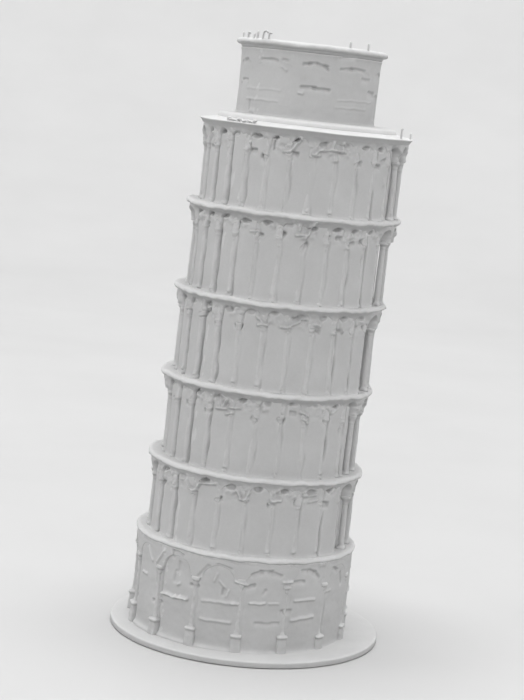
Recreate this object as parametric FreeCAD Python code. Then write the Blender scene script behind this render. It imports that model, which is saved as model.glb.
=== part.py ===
"""Leaning bell tower: a desk-top landmark model of cast stone, stacked on a hidden tie rod.

The row frame has +Z up and its origin at the centre of the base disc's underside. The tower leans to +X.
The storeys are drawn upright in the tower's own frame, whose origin is the centre of the base disc's top
face, and to_row() then tips them into the row frame. Sizes are in millimetres and angles in degrees.
"""

import FreeCAD, Part

import math
import os
from collections import namedtuple

from FreeCAD import Placement, Rotation, Vector

# ---- Driving dimensions ----------------------------------------------------------------------------

BASE_RADIUS = 40.0
BASE_THICKNESS = 1.8
BASE_EDGE = 0.2                 # chamfer round the base disc's two edges
LEAN = 1.17                     # how far every floor tips towards +X

# height is floor to floor, offset is where the storey's centre stands along the lean, face is the
# radius over its columns, ledge is the radius of the cornice on top of it, columns is how many stand
# round it and turn is the angle from the front (-Y) to the first one, towards +X.
Storey = namedtuple("Storey", "name height offset face ledge columns turn")
GROUND = Storey("ground", 27.5, -2.30, 32.35, 32.7, 15, 0.5)
GALLERIES = [
    Storey("gallery_1", 22.4, -1.85, 30.00, 31.9, 24, -4.0),
    Storey("gallery_2", 24.4, -1.15, 28.55, 31.3, 25, -5.0),
    Storey("gallery_3", 25.1, -0.10, 28.80, 31.2, 26, -8.3),
    Storey("gallery_4", 24.9, 1.05, 28.65, 31.3, 27, -7.3),
    Storey("gallery_5", 23.2, 2.05, 28.85, 30.9, 28, -9.0),
]

WALL_THICKNESS = 3.0
CORNICE_THICKNESS = 1.9
CORNICE_HOLE_RADIUS = 14.0
LIP_THICKNESS = 0.5             # edge of the terrace cornice, which has a sloping underside
TERRACE_RISE = 0.8              # how far the terrace slopes up from its edge to the plinth
SPIGOT_HEIGHT = 1.2
SPIGOT_THICKNESS = 1.6
FIT_GAP = 0.08                  # gap of every loose register and glued joint
OVERLAP = 0.2                   # how far two solids run into each other before they are fused

WALK_DEPTH = 2.9                # from the columns' outer faces back to the gallery wall
COLUMN_RADIUS = 0.95
COLUMN_NECK_RADIUS = 0.85
COLUMN_FOOT_RADIUS = 1.3
COLUMN_FOOT_HEIGHT = 0.9
CAPITAL_RADIUS = 1.25
CAPITAL_HEIGHT = 1.7
ABACUS_HEIGHT = 0.45
ABACUS_WIDTH = 2.5
ARCADE_HEIGHT = 4.8
ARCADE_SETBACK = 1.15           # how far an arcade's face stands behind the ledge above it
ARCH_PIER = 2.3                 # width left between two arches
ARCADE_CROWN = 0.7              # band left between the arches' crowns and the cornice

GROUND_WALK_DEPTH = 2.4
HALF_COLUMN_RADIUS = 1.25
BACKING_WIDTH = 1.8             # strip that ties a half column's shaft to the wall
PEDESTAL_WIDTH = 3.3
PEDESTAL_HEIGHT = 4.6
PEDESTAL_REACH = 32.9           # radius of the pedestals' front faces
PEDESTAL_CAP_HEIGHT = 0.6
PEDESTAL_CAP_LIP = 0.25
GROUND_CAPITAL_WIDTH = 3.2
GROUND_CAPITAL_HEIGHT = 1.9
GROUND_ABACUS_HEIGHT = 0.6
GROUND_SPRING = 19.6            # height of the blind arches' centres above the base
GROUND_ARCH_RADIUS = 4.7
GROUND_ARCADE_SETBACK = 0.45
STRING_COURSES = (8.6, 14.0)    # heights of the two bands that cross the ground wall's bays
STRING_COURSE_HEIGHT = 0.6
STRING_COURSE_REACH = 0.35

PLINTH_RADIUS = 26.0
PLINTH_EDGE_HEIGHT = 0.9
PLINTH_CHAMFER = 0.4
PLINTH_RISE = 0.8               # how far the plinth's top slopes up from its edge to its seat
PLINTH_SEAT_RADIUS = 21.0
BELFRY_OFFSET = 1.20
BELFRY_RADIUS = 19.95
BELFRY_WALL_THICKNESS = 2.5
BELFRY_WALL_HEIGHT = 18.2
BELFRY_TURN = 5.0               # angle from the front to the first narrow bay
BELFRY_PAIRS = 5                # narrow and wide bays alternate round the drum
WIDE_BAY = 10.6
NARROW_BAY = 6.8
BAY_SILL = 1.8                  # height of a bay's sill above the plinth
BAY_CROWN = 15.0                # height of a bay's crown above the plinth
BAY_DEPTH = 0.45
DOOR_WIDTH = 5.2
DOOR_CROWN = 8.4
DOOR_DEPTH = 0.45
RIM_RADIUS = 21.8
RIM_HEIGHT = 1.6
FLARE_HEIGHT = 1.2
FLARE_HOLLOW = 0.25             # how far the flare under the rim has come out at its bulge point
ROOF_RADIUS = 18.5
ROOF_THICKNESS = 1.2
ROOF_DROP = 0.5                 # how far the roof lies below the rim

POST_RADIUS = 0.17
POST_SOCKET_DEPTH = 0.8
POST_SOCKET_GAP = 0.03
POST_INSET = 0.9                # how far the post circle stands inside the edge
HOOK_RISE = 0.35                # slope of a bent tip

ROD_RADIUS = 1.5
ROD_FOOT_OFFSET = -1.5          # where the rod's axis meets the base's top face
ROD_SOCKET_DEPTH = 6.0
ROD_FOOT_GAP = 0.2              # space left under the rod in its socket
BOSS_RADIUS = 5.0
BOSS_HEIGHT = 7.0
ROD_HOLE_RADIUS = 1.8
WASHER_RADIUS = 3.5
WASHER_THICKNESS = 0.8
NUT_ACROSS_FLATS = 5.5
NUT_HEIGHT = 2.4
NUT_THREAD_GAP = 0.02
ROD_PROUD = 1.0                 # how far the rod stands out of the nut

# ---- Heights and the rod's line, worked out from the dimensions above --------------------------------

UP = Vector(0, 0, 1)
OUT = Vector(1, 0, 0)
FRONT = -90.0                   # direction of -Y
FLOORS = [0.0]
for storey in [GROUND] + GALLERIES:
    FLOORS.append(FLOORS[-1] + storey.height)
TOP_STOREY = GALLERIES[-1]
TERRACE = FLOORS[-1]
PLINTH_FOOT = TERRACE + TERRACE_RISE
PLINTH_EDGE_TOP = PLINTH_FOOT + PLINTH_EDGE_HEIGHT
PLINTH_TOP = PLINTH_EDGE_TOP + PLINTH_RISE
BELFRY_WALL_TOP = PLINTH_TOP + BELFRY_WALL_HEIGHT
BELFRY_INSIDE = BELFRY_RADIUS - BELFRY_WALL_THICKNESS
RIM_TOP = BELFRY_WALL_TOP + FLARE_HEIGHT + RIM_HEIGHT
ROD_FOOT = Vector(ROD_FOOT_OFFSET, 0, 0)
ROD_HEAD = Vector(TOP_STOREY.offset, 0, PLINTH_TOP)
ROD_LINE = (ROD_HEAD - ROD_FOOT).normalize()
NUT_SEAT = PLINTH_TOP + WASHER_THICKNESS        # where the rod's axis meets the washer's upper face
TOWER_PLACEMENT = Placement(Vector(0, 0, BASE_THICKNESS), Rotation(Vector(0, 1, 0), LEAN))

# ---- Helpers -----------------------------------------------------------------------------------------


def wall_radius(storey):
    """Outer radius of a storey's wall, behind its columns."""
    return storey.face - (GROUND_WALK_DEPTH if storey is GROUND else WALK_DEPTH)


def to_row(shape):
    """Tips a shape from the tower's frame into the row frame."""
    moved = shape.copy()
    moved.Placement = TOWER_PLACEMENT.multiply(shape.Placement)
    return moved


def save(name, shape):
    """Writes one sub-part, refusing one that isn't made of sound closed solids."""
    if not shape.isValid() or not shape.Solids:
        raise ValueError(f"{name} is not a valid solid")
    solids = shape.Solids
    result = solids[0] if len(solids) == 1 else Part.makeCompound(solids)
    result.exportStep(os.path.join("parts", name + ".step"))


def cylinder(radius, bottom, top, offset=0.0):
    return Part.makeCylinder(radius, top - bottom, Vector(offset, 0, bottom), UP)


def tube(outer, inner, bottom, top, offset=0.0):
    return cylinder(outer, bottom, top, offset).cut(cylinder(inner, bottom, top, offset))


def block(width, reach_in, reach_out, bottom, top):
    """A box on the +X side of the axis, between two radii."""
    corner = Vector(reach_in, -width / 2, bottom)
    return Part.makeBox(reach_out - reach_in, width, top - bottom, corner)


def ring_of(shape, count, offset, turn):
    """Copies of a shape drawn on the +X side, set evenly round an upright axis from turn onwards."""
    copies = []
    for index in range(count):
        copy = shape.copy()
        copy.rotate(Vector(0, 0, 0), UP, FRONT + turn + 360.0 * index / count)
        copy.translate(Vector(offset, 0, 0))
        copies.append(copy)
    return Part.makeCompound(copies)


def on_columns(shape, storey):
    """A copy of a shape at each of a storey's columns."""
    return ring_of(shape, storey.columns, storey.offset, storey.turn)


def between_columns(shape, storey):
    """A copy of a shape midway between each pair of a storey's columns."""
    return ring_of(shape, storey.columns, storey.offset, storey.turn + 180.0 / storey.columns)


def revolve(points, offset=0.0):
    """A solid of revolution about the upright axis at offset, from (radius, height) points.

    A point given as (radius, height, bulge_radius, bulge_height) ends an arc through the bulge point.
    """
    edges = []
    last = Vector(points[0][0], 0, points[0][1])
    for point in points[1:] + points[:1]:
        end = Vector(point[0], 0, point[1])
        if len(point) == 4:
            edges.append(Part.Arc(last, Vector(point[2], 0, point[3]), end).toShape())
        else:
            edges.append(Part.makeLine(last, end))
        last = end
    solid = Part.Face(Part.Wire(edges)).revolve(Vector(0, 0, 0), UP, 360)
    solid.translate(Vector(offset, 0, 0))
    return solid


def arch_cutter(width, bottom, spring, reach_in, reach_out):
    """An arched opening through a wall on the +X side: upright jambs under a half-round head."""
    jambs = block(width, reach_in, reach_out, bottom, spring)
    head = Part.makeCylinder(width / 2, reach_out - reach_in, Vector(reach_in, 0, spring), OUT)
    return jambs.fuse(head)


def spigot(inside_radius, bottom, top, offset):
    """A short collar that centres a drum by its inside."""
    outer = inside_radius - FIT_GAP
    return tube(outer, outer - SPIGOT_THICKNESS, bottom, top, offset)


# ---- Base --------------------------------------------------------------------------------------------


def make_base_disc():
    """A thin disc with a register for the ground wall and a boss that holds the tie rod's foot."""
    rim = BASE_RADIUS - BASE_EDGE
    disc = revolve([
        (0, 0),
        (rim, 0),
        (BASE_RADIUS, BASE_EDGE),
        (BASE_RADIUS, BASE_THICKNESS - BASE_EDGE),
        (rim, BASE_THICKNESS),
        (0, BASE_THICKNESS),
    ])
    register_radius = wall_radius(GROUND) - WALL_THICKNESS - FIT_GAP
    register = to_row(cylinder(register_radius, -BASE_THICKNESS / 2, SPIGOT_HEIGHT, GROUND.offset))
    boss = to_row(cylinder(BOSS_RADIUS, 0, BOSS_HEIGHT, ROD_FOOT_OFFSET))
    socket_foot = ROD_FOOT + ROD_LINE * (BOSS_HEIGHT - ROD_SOCKET_DEPTH)
    socket_radius = ROD_RADIUS + FIT_GAP
    socket = to_row(Part.makeCylinder(socket_radius, BOSS_HEIGHT * 2, socket_foot, ROD_LINE))
    return disc.fuse([register, boss]).removeSplitter().cut(socket)


# ---- Ground storey -----------------------------------------------------------------------------------


def stand_on_base(shape):
    """Trims a leaning shape's foot to the level top of the base disc."""
    size = BASE_RADIUS * 2
    corner = Vector(-BASE_RADIUS, -BASE_RADIUS, BASE_THICKNESS - size)
    return to_row(shape).cut(Part.makeBox(size, size, size, corner))


def string_course(radius, height):
    """A band round the ground wall with a sloping top."""
    top = height + STRING_COURSE_HEIGHT
    inside = radius - WALL_THICKNESS / 2
    reach = radius + STRING_COURSE_REACH
    points = [(inside, height), (reach, height), (reach, top - STRING_COURSE_REACH),
              (radius, top), (inside, top)]
    return revolve(points, GROUND.offset)


def make_ground_wall():
    """A drum with two bands of string course that stop against the half columns."""
    radius = wall_radius(GROUND)
    foot = -BASE_THICKNESS
    top = GROUND.height - CORNICE_THICKNESS
    bands = Part.makeCompound([string_course(radius, height) for height in STRING_COURSES])
    slot_width = 2 * (HALF_COLUMN_RADIUS + FIT_GAP)
    slot = block(slot_width, radius, GROUND.face, 0, top)
    outer = cylinder(radius, foot, top, GROUND.offset)
    outer = outer.fuse(bands.cut(on_columns(slot, GROUND)))
    hollow = cylinder(radius - WALL_THICKNESS, foot, top, GROUND.offset)
    return stand_on_base(outer.cut(hollow))


def half_column():
    """One engaged column on its pedestal, with a flared capital, drawn on the +X side."""
    wall = wall_radius(GROUND) + FIT_GAP
    centre = GROUND.face - HALF_COLUMN_RADIUS
    cap_foot = PEDESTAL_HEIGHT - PEDESTAL_CAP_HEIGHT
    capital_foot = GROUND_SPRING - GROUND_CAPITAL_HEIGHT
    abacus_foot = GROUND_SPRING - GROUND_ABACUS_HEIGHT
    half_capital = GROUND_CAPITAL_WIDTH / 2
    cap_width = PEDESTAL_WIDTH + 2 * PEDESTAL_CAP_LIP
    cap_reach = PEDESTAL_REACH + PEDESTAL_CAP_LIP
    pedestal = block(PEDESTAL_WIDTH, wall - 1, PEDESTAL_REACH, -BASE_THICKNESS, cap_foot)
    cap = block(cap_width, wall - 1, cap_reach, cap_foot, PEDESTAL_HEIGHT)
    shaft = cylinder(HALF_COLUMN_RADIUS, PEDESTAL_HEIGHT, capital_foot, centre)
    backing = block(BACKING_WIDTH, wall - 1, centre, PEDESTAL_HEIGHT, GROUND_SPRING)
    flare = Part.makeCone(HALF_COLUMN_RADIUS, half_capital, abacus_foot - capital_foot,
                          Vector(centre, 0, capital_foot), UP)
    abacus = block(GROUND_CAPITAL_WIDTH, wall - 1, centre + half_capital, abacus_foot, GROUND_SPRING)
    whole = pedestal.fuse([cap, shaft, backing, flare, abacus]).removeSplitter()
    return whole.cut(cylinder(wall, -GROUND.height, GROUND.height))


def make_ground_half_columns():
    return stand_on_base(on_columns(half_column(), GROUND))


def make_ground_arcade():
    """A shallow ring of blind arches that rests on the half columns' capitals."""
    inner = wall_radius(GROUND) + FIT_GAP
    outer = GROUND.ledge - GROUND_ARCADE_SETBACK
    top = GROUND.height - CORNICE_THICKNESS
    ring = tube(outer, inner, GROUND_SPRING, top, GROUND.offset)
    reach = GROUND.ledge - inner + 2
    arch = Part.makeCylinder(GROUND_ARCH_RADIUS, reach, Vector(inner - 1, 0, GROUND_SPRING), OUT)
    return to_row(ring.cut(between_columns(arch, GROUND)))


# ---- Galleries ---------------------------------------------------------------------------------------


def make_gallery_wall(storey, floor):
    top = floor + storey.height - CORNICE_THICKNESS
    outer = wall_radius(storey)
    return to_row(tube(outer, outer - WALL_THICKNESS, floor, top, storey.offset))


def gallery_column(storey, floor):
    """One free-standing column with a foot, a flared capital and an abacus, drawn on the +X side."""
    centre = storey.face - COLUMN_RADIUS
    top = floor + storey.height - CORNICE_THICKNESS - ARCADE_HEIGHT
    neck = top - CAPITAL_HEIGHT
    foot = floor + COLUMN_FOOT_HEIGHT
    abacus_foot = top - ABACUS_HEIGHT
    turned = revolve([
        (0, floor),
        (COLUMN_RADIUS, floor),
        (COLUMN_RADIUS, foot, COLUMN_FOOT_RADIUS, (floor + foot) / 2),
        (COLUMN_NECK_RADIUS, neck),
        (CAPITAL_RADIUS, abacus_foot, COLUMN_RADIUS, (neck + top) / 2),
        (0, abacus_foot),
    ], centre)
    half = ABACUS_WIDTH / 2
    return turned.fuse(block(ABACUS_WIDTH, centre - half, centre + half, abacus_foot, top))


def make_gallery_columns(storey, floor):
    return to_row(on_columns(gallery_column(storey, floor), storey))


def make_gallery_arcade(storey, floor):
    """A ring of arches that rests on the capitals, under the cornice and round the wall."""
    top = floor + storey.height - CORNICE_THICKNESS
    bottom = top - ARCADE_HEIGHT
    inner = wall_radius(storey) + FIT_GAP
    centre = storey.face - COLUMN_RADIUS
    width = 2 * math.pi * centre / storey.columns - ARCH_PIER
    spring = top - ARCADE_CROWN - width / 2
    ring = tube(storey.ledge - ARCADE_SETBACK, inner, bottom, top, storey.offset)
    arch = arch_cutter(width, bottom - 1, spring, inner - 1, storey.ledge)
    return to_row(ring.cut(between_columns(arch, storey)))


# ---- Cornices ----------------------------------------------------------------------------------------


def round_nose(radius, bottom, top, offset):
    """A flat ring with a half-round edge and a large hole."""
    edge = radius - (top - bottom) / 2
    return revolve([
        (CORNICE_HOLE_RADIUS, bottom),
        (edge, bottom),
        (edge, top, radius, (bottom + top) / 2),
        (CORNICE_HOLE_RADIUS, top),
    ], offset)


def sharp_lip(radius, bottom, top, offset):
    """A ring with a thin lip: its underside slopes out to it and its top slopes up to a level seat."""
    return revolve([
        (CORNICE_HOLE_RADIUS, bottom),
        (radius - ARCADE_SETBACK, bottom),
        (radius, top - LIP_THICKNESS),
        (radius, top),
        (PLINTH_RADIUS, top + TERRACE_RISE),
        (CORNICE_HOLE_RADIUS, top + TERRACE_RISE),
    ], offset)


def make_cornice(storey, level, above):
    """The ledge on a storey, with a collar below for its own drum and one above for the next drum."""
    bottom = level - CORNICE_THICKNESS
    profile = round_nose if above else sharp_lip
    slab = profile(storey.ledge, bottom, level, storey.offset)
    own_inside = wall_radius(storey) - WALL_THICKNESS
    collars = [spigot(own_inside, bottom - SPIGOT_HEIGHT, bottom + OVERLAP, storey.offset)]
    if above:
        next_inside = wall_radius(above) - WALL_THICKNESS
        collars.append(spigot(next_inside, level - OVERLAP, level + SPIGOT_HEIGHT, above.offset))
    return to_row(slab.fuse(collars).removeSplitter())


# ---- Terrace and belfry ------------------------------------------------------------------------------


def make_terrace_plinth():
    """The sloping disc that the belfry stands on and that the tie rod's nut pulls down on."""
    offset = TOP_STOREY.offset
    disc = revolve([
        (0, PLINTH_FOOT),
        (PLINTH_RADIUS, PLINTH_FOOT),
        (PLINTH_RADIUS, PLINTH_EDGE_TOP - PLINTH_CHAMFER),
        (PLINTH_RADIUS - PLINTH_CHAMFER, PLINTH_EDGE_TOP),
        (PLINTH_SEAT_RADIUS, PLINTH_TOP),
        (0, PLINTH_TOP),
    ], offset)
    seat = spigot(CORNICE_HOLE_RADIUS, PLINTH_FOOT - SPIGOT_HEIGHT, PLINTH_FOOT + OVERLAP, offset)
    collar = spigot(BELFRY_INSIDE, PLINTH_TOP - OVERLAP, PLINTH_TOP + SPIGOT_HEIGHT, BELFRY_OFFSET)
    rod_hole = cylinder(ROD_HOLE_RADIUS, PLINTH_FOOT, PLINTH_TOP, offset)
    return to_row(disc.fuse([seat, collar]).removeSplitter().cut(rod_hole))


def belfry_niche(width, crown, depth, wall_face):
    """A cutter for an arched recess whose back follows the drum, depth behind wall_face."""
    sill = PLINTH_TOP + BAY_SILL
    spring = PLINTH_TOP + crown - width / 2
    opening = arch_cutter(width, sill, spring, 0, BELFRY_RADIUS + 1)
    return opening.cut(cylinder(wall_face - depth, PLINTH_TOP, BELFRY_WALL_TOP))


def make_belfry_wall():
    """A drum with wide and narrow arched bays by turns, each narrow one with a blind door in it."""
    drum = tube(BELFRY_RADIUS, BELFRY_INSIDE, PLINTH_TOP, BELFRY_WALL_TOP, BELFRY_OFFSET)
    half_step = 180.0 / BELFRY_PAIRS
    niches = [
        (belfry_niche(NARROW_BAY, BAY_CROWN, BAY_DEPTH, BELFRY_RADIUS), BELFRY_TURN),
        (belfry_niche(WIDE_BAY, BAY_CROWN, BAY_DEPTH, BELFRY_RADIUS), BELFRY_TURN + half_step),
        (belfry_niche(DOOR_WIDTH, DOOR_CROWN, DOOR_DEPTH, BELFRY_RADIUS - BAY_DEPTH), BELFRY_TURN),
    ]
    for niche, turn in niches:
        drum = drum.cut(ring_of(niche, BELFRY_PAIRS, BELFRY_OFFSET, turn))
    return to_row(drum)


def make_belfry_cornice():
    """A hollow-moulded rim with a seat for the roof and a collar for the wall."""
    bottom = BELFRY_WALL_TOP
    rim_foot = bottom + FLARE_HEIGHT
    rim_edge = RIM_RADIUS - RIM_HEIGHT / 2
    bore = BELFRY_INSIDE - FIT_GAP - SPIGOT_THICKNESS
    rim = revolve([
        (bore, bottom),
        (BELFRY_RADIUS, bottom),
        (rim_edge, rim_foot, BELFRY_RADIUS + FLARE_HOLLOW, bottom + FLARE_HEIGHT * 0.75),
        (rim_edge, RIM_TOP, RIM_RADIUS, rim_foot + RIM_HEIGHT / 2),
        (bore, RIM_TOP),
    ], BELFRY_OFFSET)
    collar = spigot(BELFRY_INSIDE, bottom - SPIGOT_HEIGHT, bottom + OVERLAP, BELFRY_OFFSET)
    roof_foot = RIM_TOP - ROOF_DROP - ROOF_THICKNESS
    seat = cylinder(ROOF_RADIUS + FIT_GAP, roof_foot, RIM_TOP, BELFRY_OFFSET)
    return to_row(rim.fuse(collar).removeSplitter().cut(seat))


def make_belfry_roof():
    top = RIM_TOP - ROOF_DROP
    return to_row(cylinder(ROOF_RADIUS, top - ROOF_THICKNESS, top, BELFRY_OFFSET))


# ---- Railing posts -----------------------------------------------------------------------------------

# angle is measured from the front, height stands above the ledge and hook is the bent tip's length.
# The railings have lost most of their posts, so the ones that stand are listed one by one.
Post = namedtuple("Post", "angle height hook")
BELFRY_POSTS = [
    Post(-72, 1.5, 0.0),
    Post(-62, 1.5, 0.5),
    Post(-53, 1.3, 0.0),
    Post(-49, 2.1, 0.0),
    Post(-43, 2.0, 0.9),
    Post(-37, 1.8, 0.5),
    Post(29, 1.7, 0.0),
    Post(47, 1.9, 0.0),
]
TERRACE_POSTS = [
    Post(-47, 0.6, 0.3),
    Post(-40, 0.6, 0.3),
    Post(-34, 0.7, 0.0),
    Post(-30, 0.7, 0.3),
    Post(62, 2.9, 0.3),
    Post(83, 1.9, 0.0),
]

# The ledge that a set of posts stands in: the radius and offset of their circle and its height.
Ledge = namedtuple("Ledge", "radius offset height")
BELFRY_LEDGE = Ledge(RIM_RADIUS - POST_INSET, BELFRY_OFFSET, RIM_TOP)
TERRACE_LEDGE = Ledge(TOP_STOREY.ledge - POST_INSET, TOP_STOREY.offset, TERRACE)


def socket_bottom(post, ledge):
    angle = math.radians(FRONT + post.angle)
    x = ledge.offset + ledge.radius * math.cos(angle)
    return Vector(x, ledge.radius * math.sin(angle), ledge.height - POST_SOCKET_DEPTH)


def wire_post(post, ledge):
    """A wire set in the ledge, some with the tip bent over along the lost rail's line."""
    foot = socket_bottom(post, ledge)
    length = POST_SOCKET_DEPTH + post.height
    straight = Part.makeCylinder(POST_RADIUS, length, foot, UP)
    if not post.hook:
        return straight
    knee = foot + UP * length
    angle = math.radians(post.angle)
    tip_line = Vector(math.cos(angle), math.sin(angle), HOOK_RISE).normalize()
    tip = Part.makeCylinder(POST_RADIUS, post.hook, knee, tip_line)
    return straight.fuse([Part.makeSphere(POST_RADIUS, knee), tip]).removeSplitter()


def make_posts(posts, ledge):
    return to_row(Part.makeCompound([wire_post(post, ledge) for post in posts]))


def drill_sockets(shape, posts, ledge):
    """Cuts a socket for each post into a ledge that already stands in the row frame."""
    radius = POST_RADIUS + POST_SOCKET_GAP
    length = POST_SOCKET_DEPTH + 1
    drills = [Part.makeCylinder(radius, length, socket_bottom(post, ledge), UP) for post in posts]
    return shape.cut(to_row(Part.makeCompound(drills)))


# ---- Tie rod -----------------------------------------------------------------------------------------


def rod_station(height):
    """The point of the rod's axis at a height in the tower's frame."""
    return ROD_FOOT + ROD_LINE * (height / ROD_LINE.z)


def make_tie_rod():
    foot = ROD_FOOT + ROD_LINE * (BOSS_HEIGHT - ROD_SOCKET_DEPTH + ROD_FOOT_GAP)
    head = rod_station(NUT_SEAT) + ROD_LINE * (NUT_HEIGHT + ROD_PROUD)
    return to_row(Part.makeCylinder(ROD_RADIUS, (head - foot).Length, foot, ROD_LINE))


def make_rod_washer():
    """A taper washer: its underside lies flat on the plinth and its top is square to the rod."""
    blank = cylinder(WASHER_RADIUS, PLINTH_TOP, PLINTH_TOP + 2 * WASHER_THICKNESS, ROD_HEAD.x)
    above = Part.makeCylinder(WASHER_RADIUS * 2, WASHER_THICKNESS * 4, rod_station(NUT_SEAT), ROD_LINE)
    hole = Part.makeCylinder(ROD_RADIUS + FIT_GAP, 10, rod_station(PLINTH_TOP - 5), ROD_LINE)
    return to_row(blank.cut(above).cut(hole))


def make_rod_nut():
    corner = NUT_ACROSS_FLATS / math.sqrt(3)
    corners = []
    for side in range(7):
        angle = math.radians(60 * side)
        corners.append(Vector(corner * math.cos(angle), corner * math.sin(angle), 0))
    prism = Part.Face(Part.makePolygon(corners)).extrude(UP * NUT_HEIGHT)
    nut = prism.cut(cylinder(ROD_RADIUS + NUT_THREAD_GAP, 0, NUT_HEIGHT))
    nut.Placement = Placement(rod_station(NUT_SEAT), Rotation(UP, ROD_LINE))
    return to_row(nut)


# ---- Assembly ----------------------------------------------------------------------------------------


def build_ground():
    return {
        "base_disc": make_base_disc(),
        "ground_wall": make_ground_wall(),
        "ground_half_columns": make_ground_half_columns(),
        "ground_arcade": make_ground_arcade(),
        "ground_cornice": make_cornice(GROUND, FLOORS[1], GALLERIES[0]),
    }


def build_gallery(index):
    storey = GALLERIES[index]
    floor = FLOORS[index + 1]
    above = None if storey is TOP_STOREY else GALLERIES[index + 1]
    cornice = make_cornice(storey, FLOORS[index + 2], above)
    if storey is TOP_STOREY:
        cornice = drill_sockets(cornice, TERRACE_POSTS, TERRACE_LEDGE)
    return {
        storey.name + "_wall": make_gallery_wall(storey, floor),
        storey.name + "_columns": make_gallery_columns(storey, floor),
        storey.name + "_arcade": make_gallery_arcade(storey, floor),
        storey.name + "_cornice": cornice,
    }


def build_top():
    return {
        "terrace_plinth": make_terrace_plinth(),
        "terrace_railing_posts": make_posts(TERRACE_POSTS, TERRACE_LEDGE),
        "belfry_wall": make_belfry_wall(),
        "belfry_cornice": drill_sockets(make_belfry_cornice(), BELFRY_POSTS, BELFRY_LEDGE),
        "belfry_roof": make_belfry_roof(),
        "belfry_railing_posts": make_posts(BELFRY_POSTS, BELFRY_LEDGE),
        "tie_rod": make_tie_rod(),
        "rod_washer": make_rod_washer(),
        "rod_nut": make_rod_nut(),
    }


parts = build_ground()
for gallery in range(len(GALLERIES)):
    parts.update(build_gallery(gallery))
parts.update(build_top())

os.makedirs("parts", exist_ok=True)
for part_name, part_shape in parts.items():
    save(part_name, part_shape)
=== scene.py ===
"""Looks of the leaning bell tower model: soft, slightly melted cast-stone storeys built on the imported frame.

Sizes are in millimetres until a mesh is placed. Angles round the tower are measured from the front (-Y)
towards +X. The storeys are drawn upright in the tower's own frame, then tipped by the lean.
"""

import math
import random
from collections import namedtuple

import bmesh
import bpy
from mathutils import Matrix, Vector, noise


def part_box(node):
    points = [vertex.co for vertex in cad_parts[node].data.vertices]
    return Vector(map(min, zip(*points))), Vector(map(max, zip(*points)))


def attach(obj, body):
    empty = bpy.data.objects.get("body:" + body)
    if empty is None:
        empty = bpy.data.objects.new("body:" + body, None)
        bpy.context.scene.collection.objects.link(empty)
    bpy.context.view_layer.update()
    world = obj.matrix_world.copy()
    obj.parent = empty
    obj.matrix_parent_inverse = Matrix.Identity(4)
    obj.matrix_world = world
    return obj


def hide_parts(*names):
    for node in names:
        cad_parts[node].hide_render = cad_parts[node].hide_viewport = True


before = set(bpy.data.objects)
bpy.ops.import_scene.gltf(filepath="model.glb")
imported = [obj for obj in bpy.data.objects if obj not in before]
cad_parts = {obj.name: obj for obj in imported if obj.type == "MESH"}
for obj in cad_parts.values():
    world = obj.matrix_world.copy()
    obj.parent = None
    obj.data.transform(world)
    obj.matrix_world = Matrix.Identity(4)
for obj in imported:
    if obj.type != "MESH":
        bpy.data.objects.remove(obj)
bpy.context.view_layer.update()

# ---- Sizes that the frame doesn't give ----

MM = 0.001
LEAN = math.radians(1.17)

# columns is how many stand round a storey, and turn is the angle to the first one, in degrees.
Storey = namedtuple("Storey", "name columns turn")
GROUND = Storey("ground", 15, 0.5)
GALLERIES = [
    Storey("gallery_1", 24, -4.0),
    Storey("gallery_2", 25, -5.0),
    Storey("gallery_3", 26, -8.3),
    Storey("gallery_4", 27, -7.3),
    Storey("gallery_5", 28, -9.0),
]

SINK = 0.15  # how far a piece runs into the one it stands on, to close the joint
BASE_EDGE = 0.16  # roundings of the base disc's lower and upper edge
BASE_ROLL = 0.55
WALL_THICKNESS = 2.6
BELFRY_THICKNESS = 2.2
ARCADE_BACK = 1.2  # how far the arcades' rings run into the walls
ARCADE_INSET = 0.5  # how far an arcade's openings lie behind the wall's face
LEDGE_GAP = 0.12  # an arcade stops this far short of the ledge's edge
SKIN_DEPTH = 1.0  # points further than this behind a face are out of sight and stay plain
COLUMN_CORNERS = 16
HALF_COLUMN_CORNERS = 24
SECTION_GAP = 0.55  # largest height between a column's cross-sections
HALF_SECTION_GAP = 0.45
CORNICE_HOLE = 14.0
CORNICE_THICKNESS = 1.9
LIP_HEIGHT = 1.5  # a ledge's rounded edge, over the hollow that runs up to it
LIP_DEPTH = 1.2
LIP_OVERHANG = 1.2  # how far a ledge stands out past the hollow beneath it
HOLLOW_REACH = 0.6  # how far the hollow under a ledge climbs past the cornice's underside
TERRACE_RISE = 0.8
PLINTH_EDGE = 1.3
RIM_RISE = 0.5  # how far the belfry's rim stands above the roof
POST_INSET = 0.9  # from a ledge's edge to its railing posts
COLUMN_RADIUS = 0.95
WALK_DEPTH = 2.9
GROUND_WALK_DEPTH = 2.4
ARCADE_HEIGHT = 4.8
ARCADE_SETBACK = 1.15
ARCH_PIER = 2.3
ARCADE_CROWN = 0.45
GROUND_SPRING = 19.6
GROUND_ARCH_RADIUS = 4.7
PEDESTAL_HEIGHT = 4.6
PEDESTAL_REACH = 0.55  # how far the pedestals stand out past the shafts

# Slices round the turned pieces.
WALL_SLICES_PER_BAY = 36
ARCADE_SLICES = 640
GROUND_WALL_SLICES = 840
GROUND_ARCADE_SLICES = 720
BELFRY_SLICES = 600
LEDGE_SLICES = 420
PLAIN_SLICES = 360
ROOF_SLICES = 240

# ---- Measurements taken from the frame ----

BASE_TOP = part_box("ground_wall")[0].z / MM
TOWER = Matrix.Translation((0, 0, BASE_TOP)) @ Matrix.Rotation(LEAN, 4, "Y")

# A leaning round node's axis, radius and ends in the tower's frame.
Drum = namedtuple("Drum", "centre radius bottom top")


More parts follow.
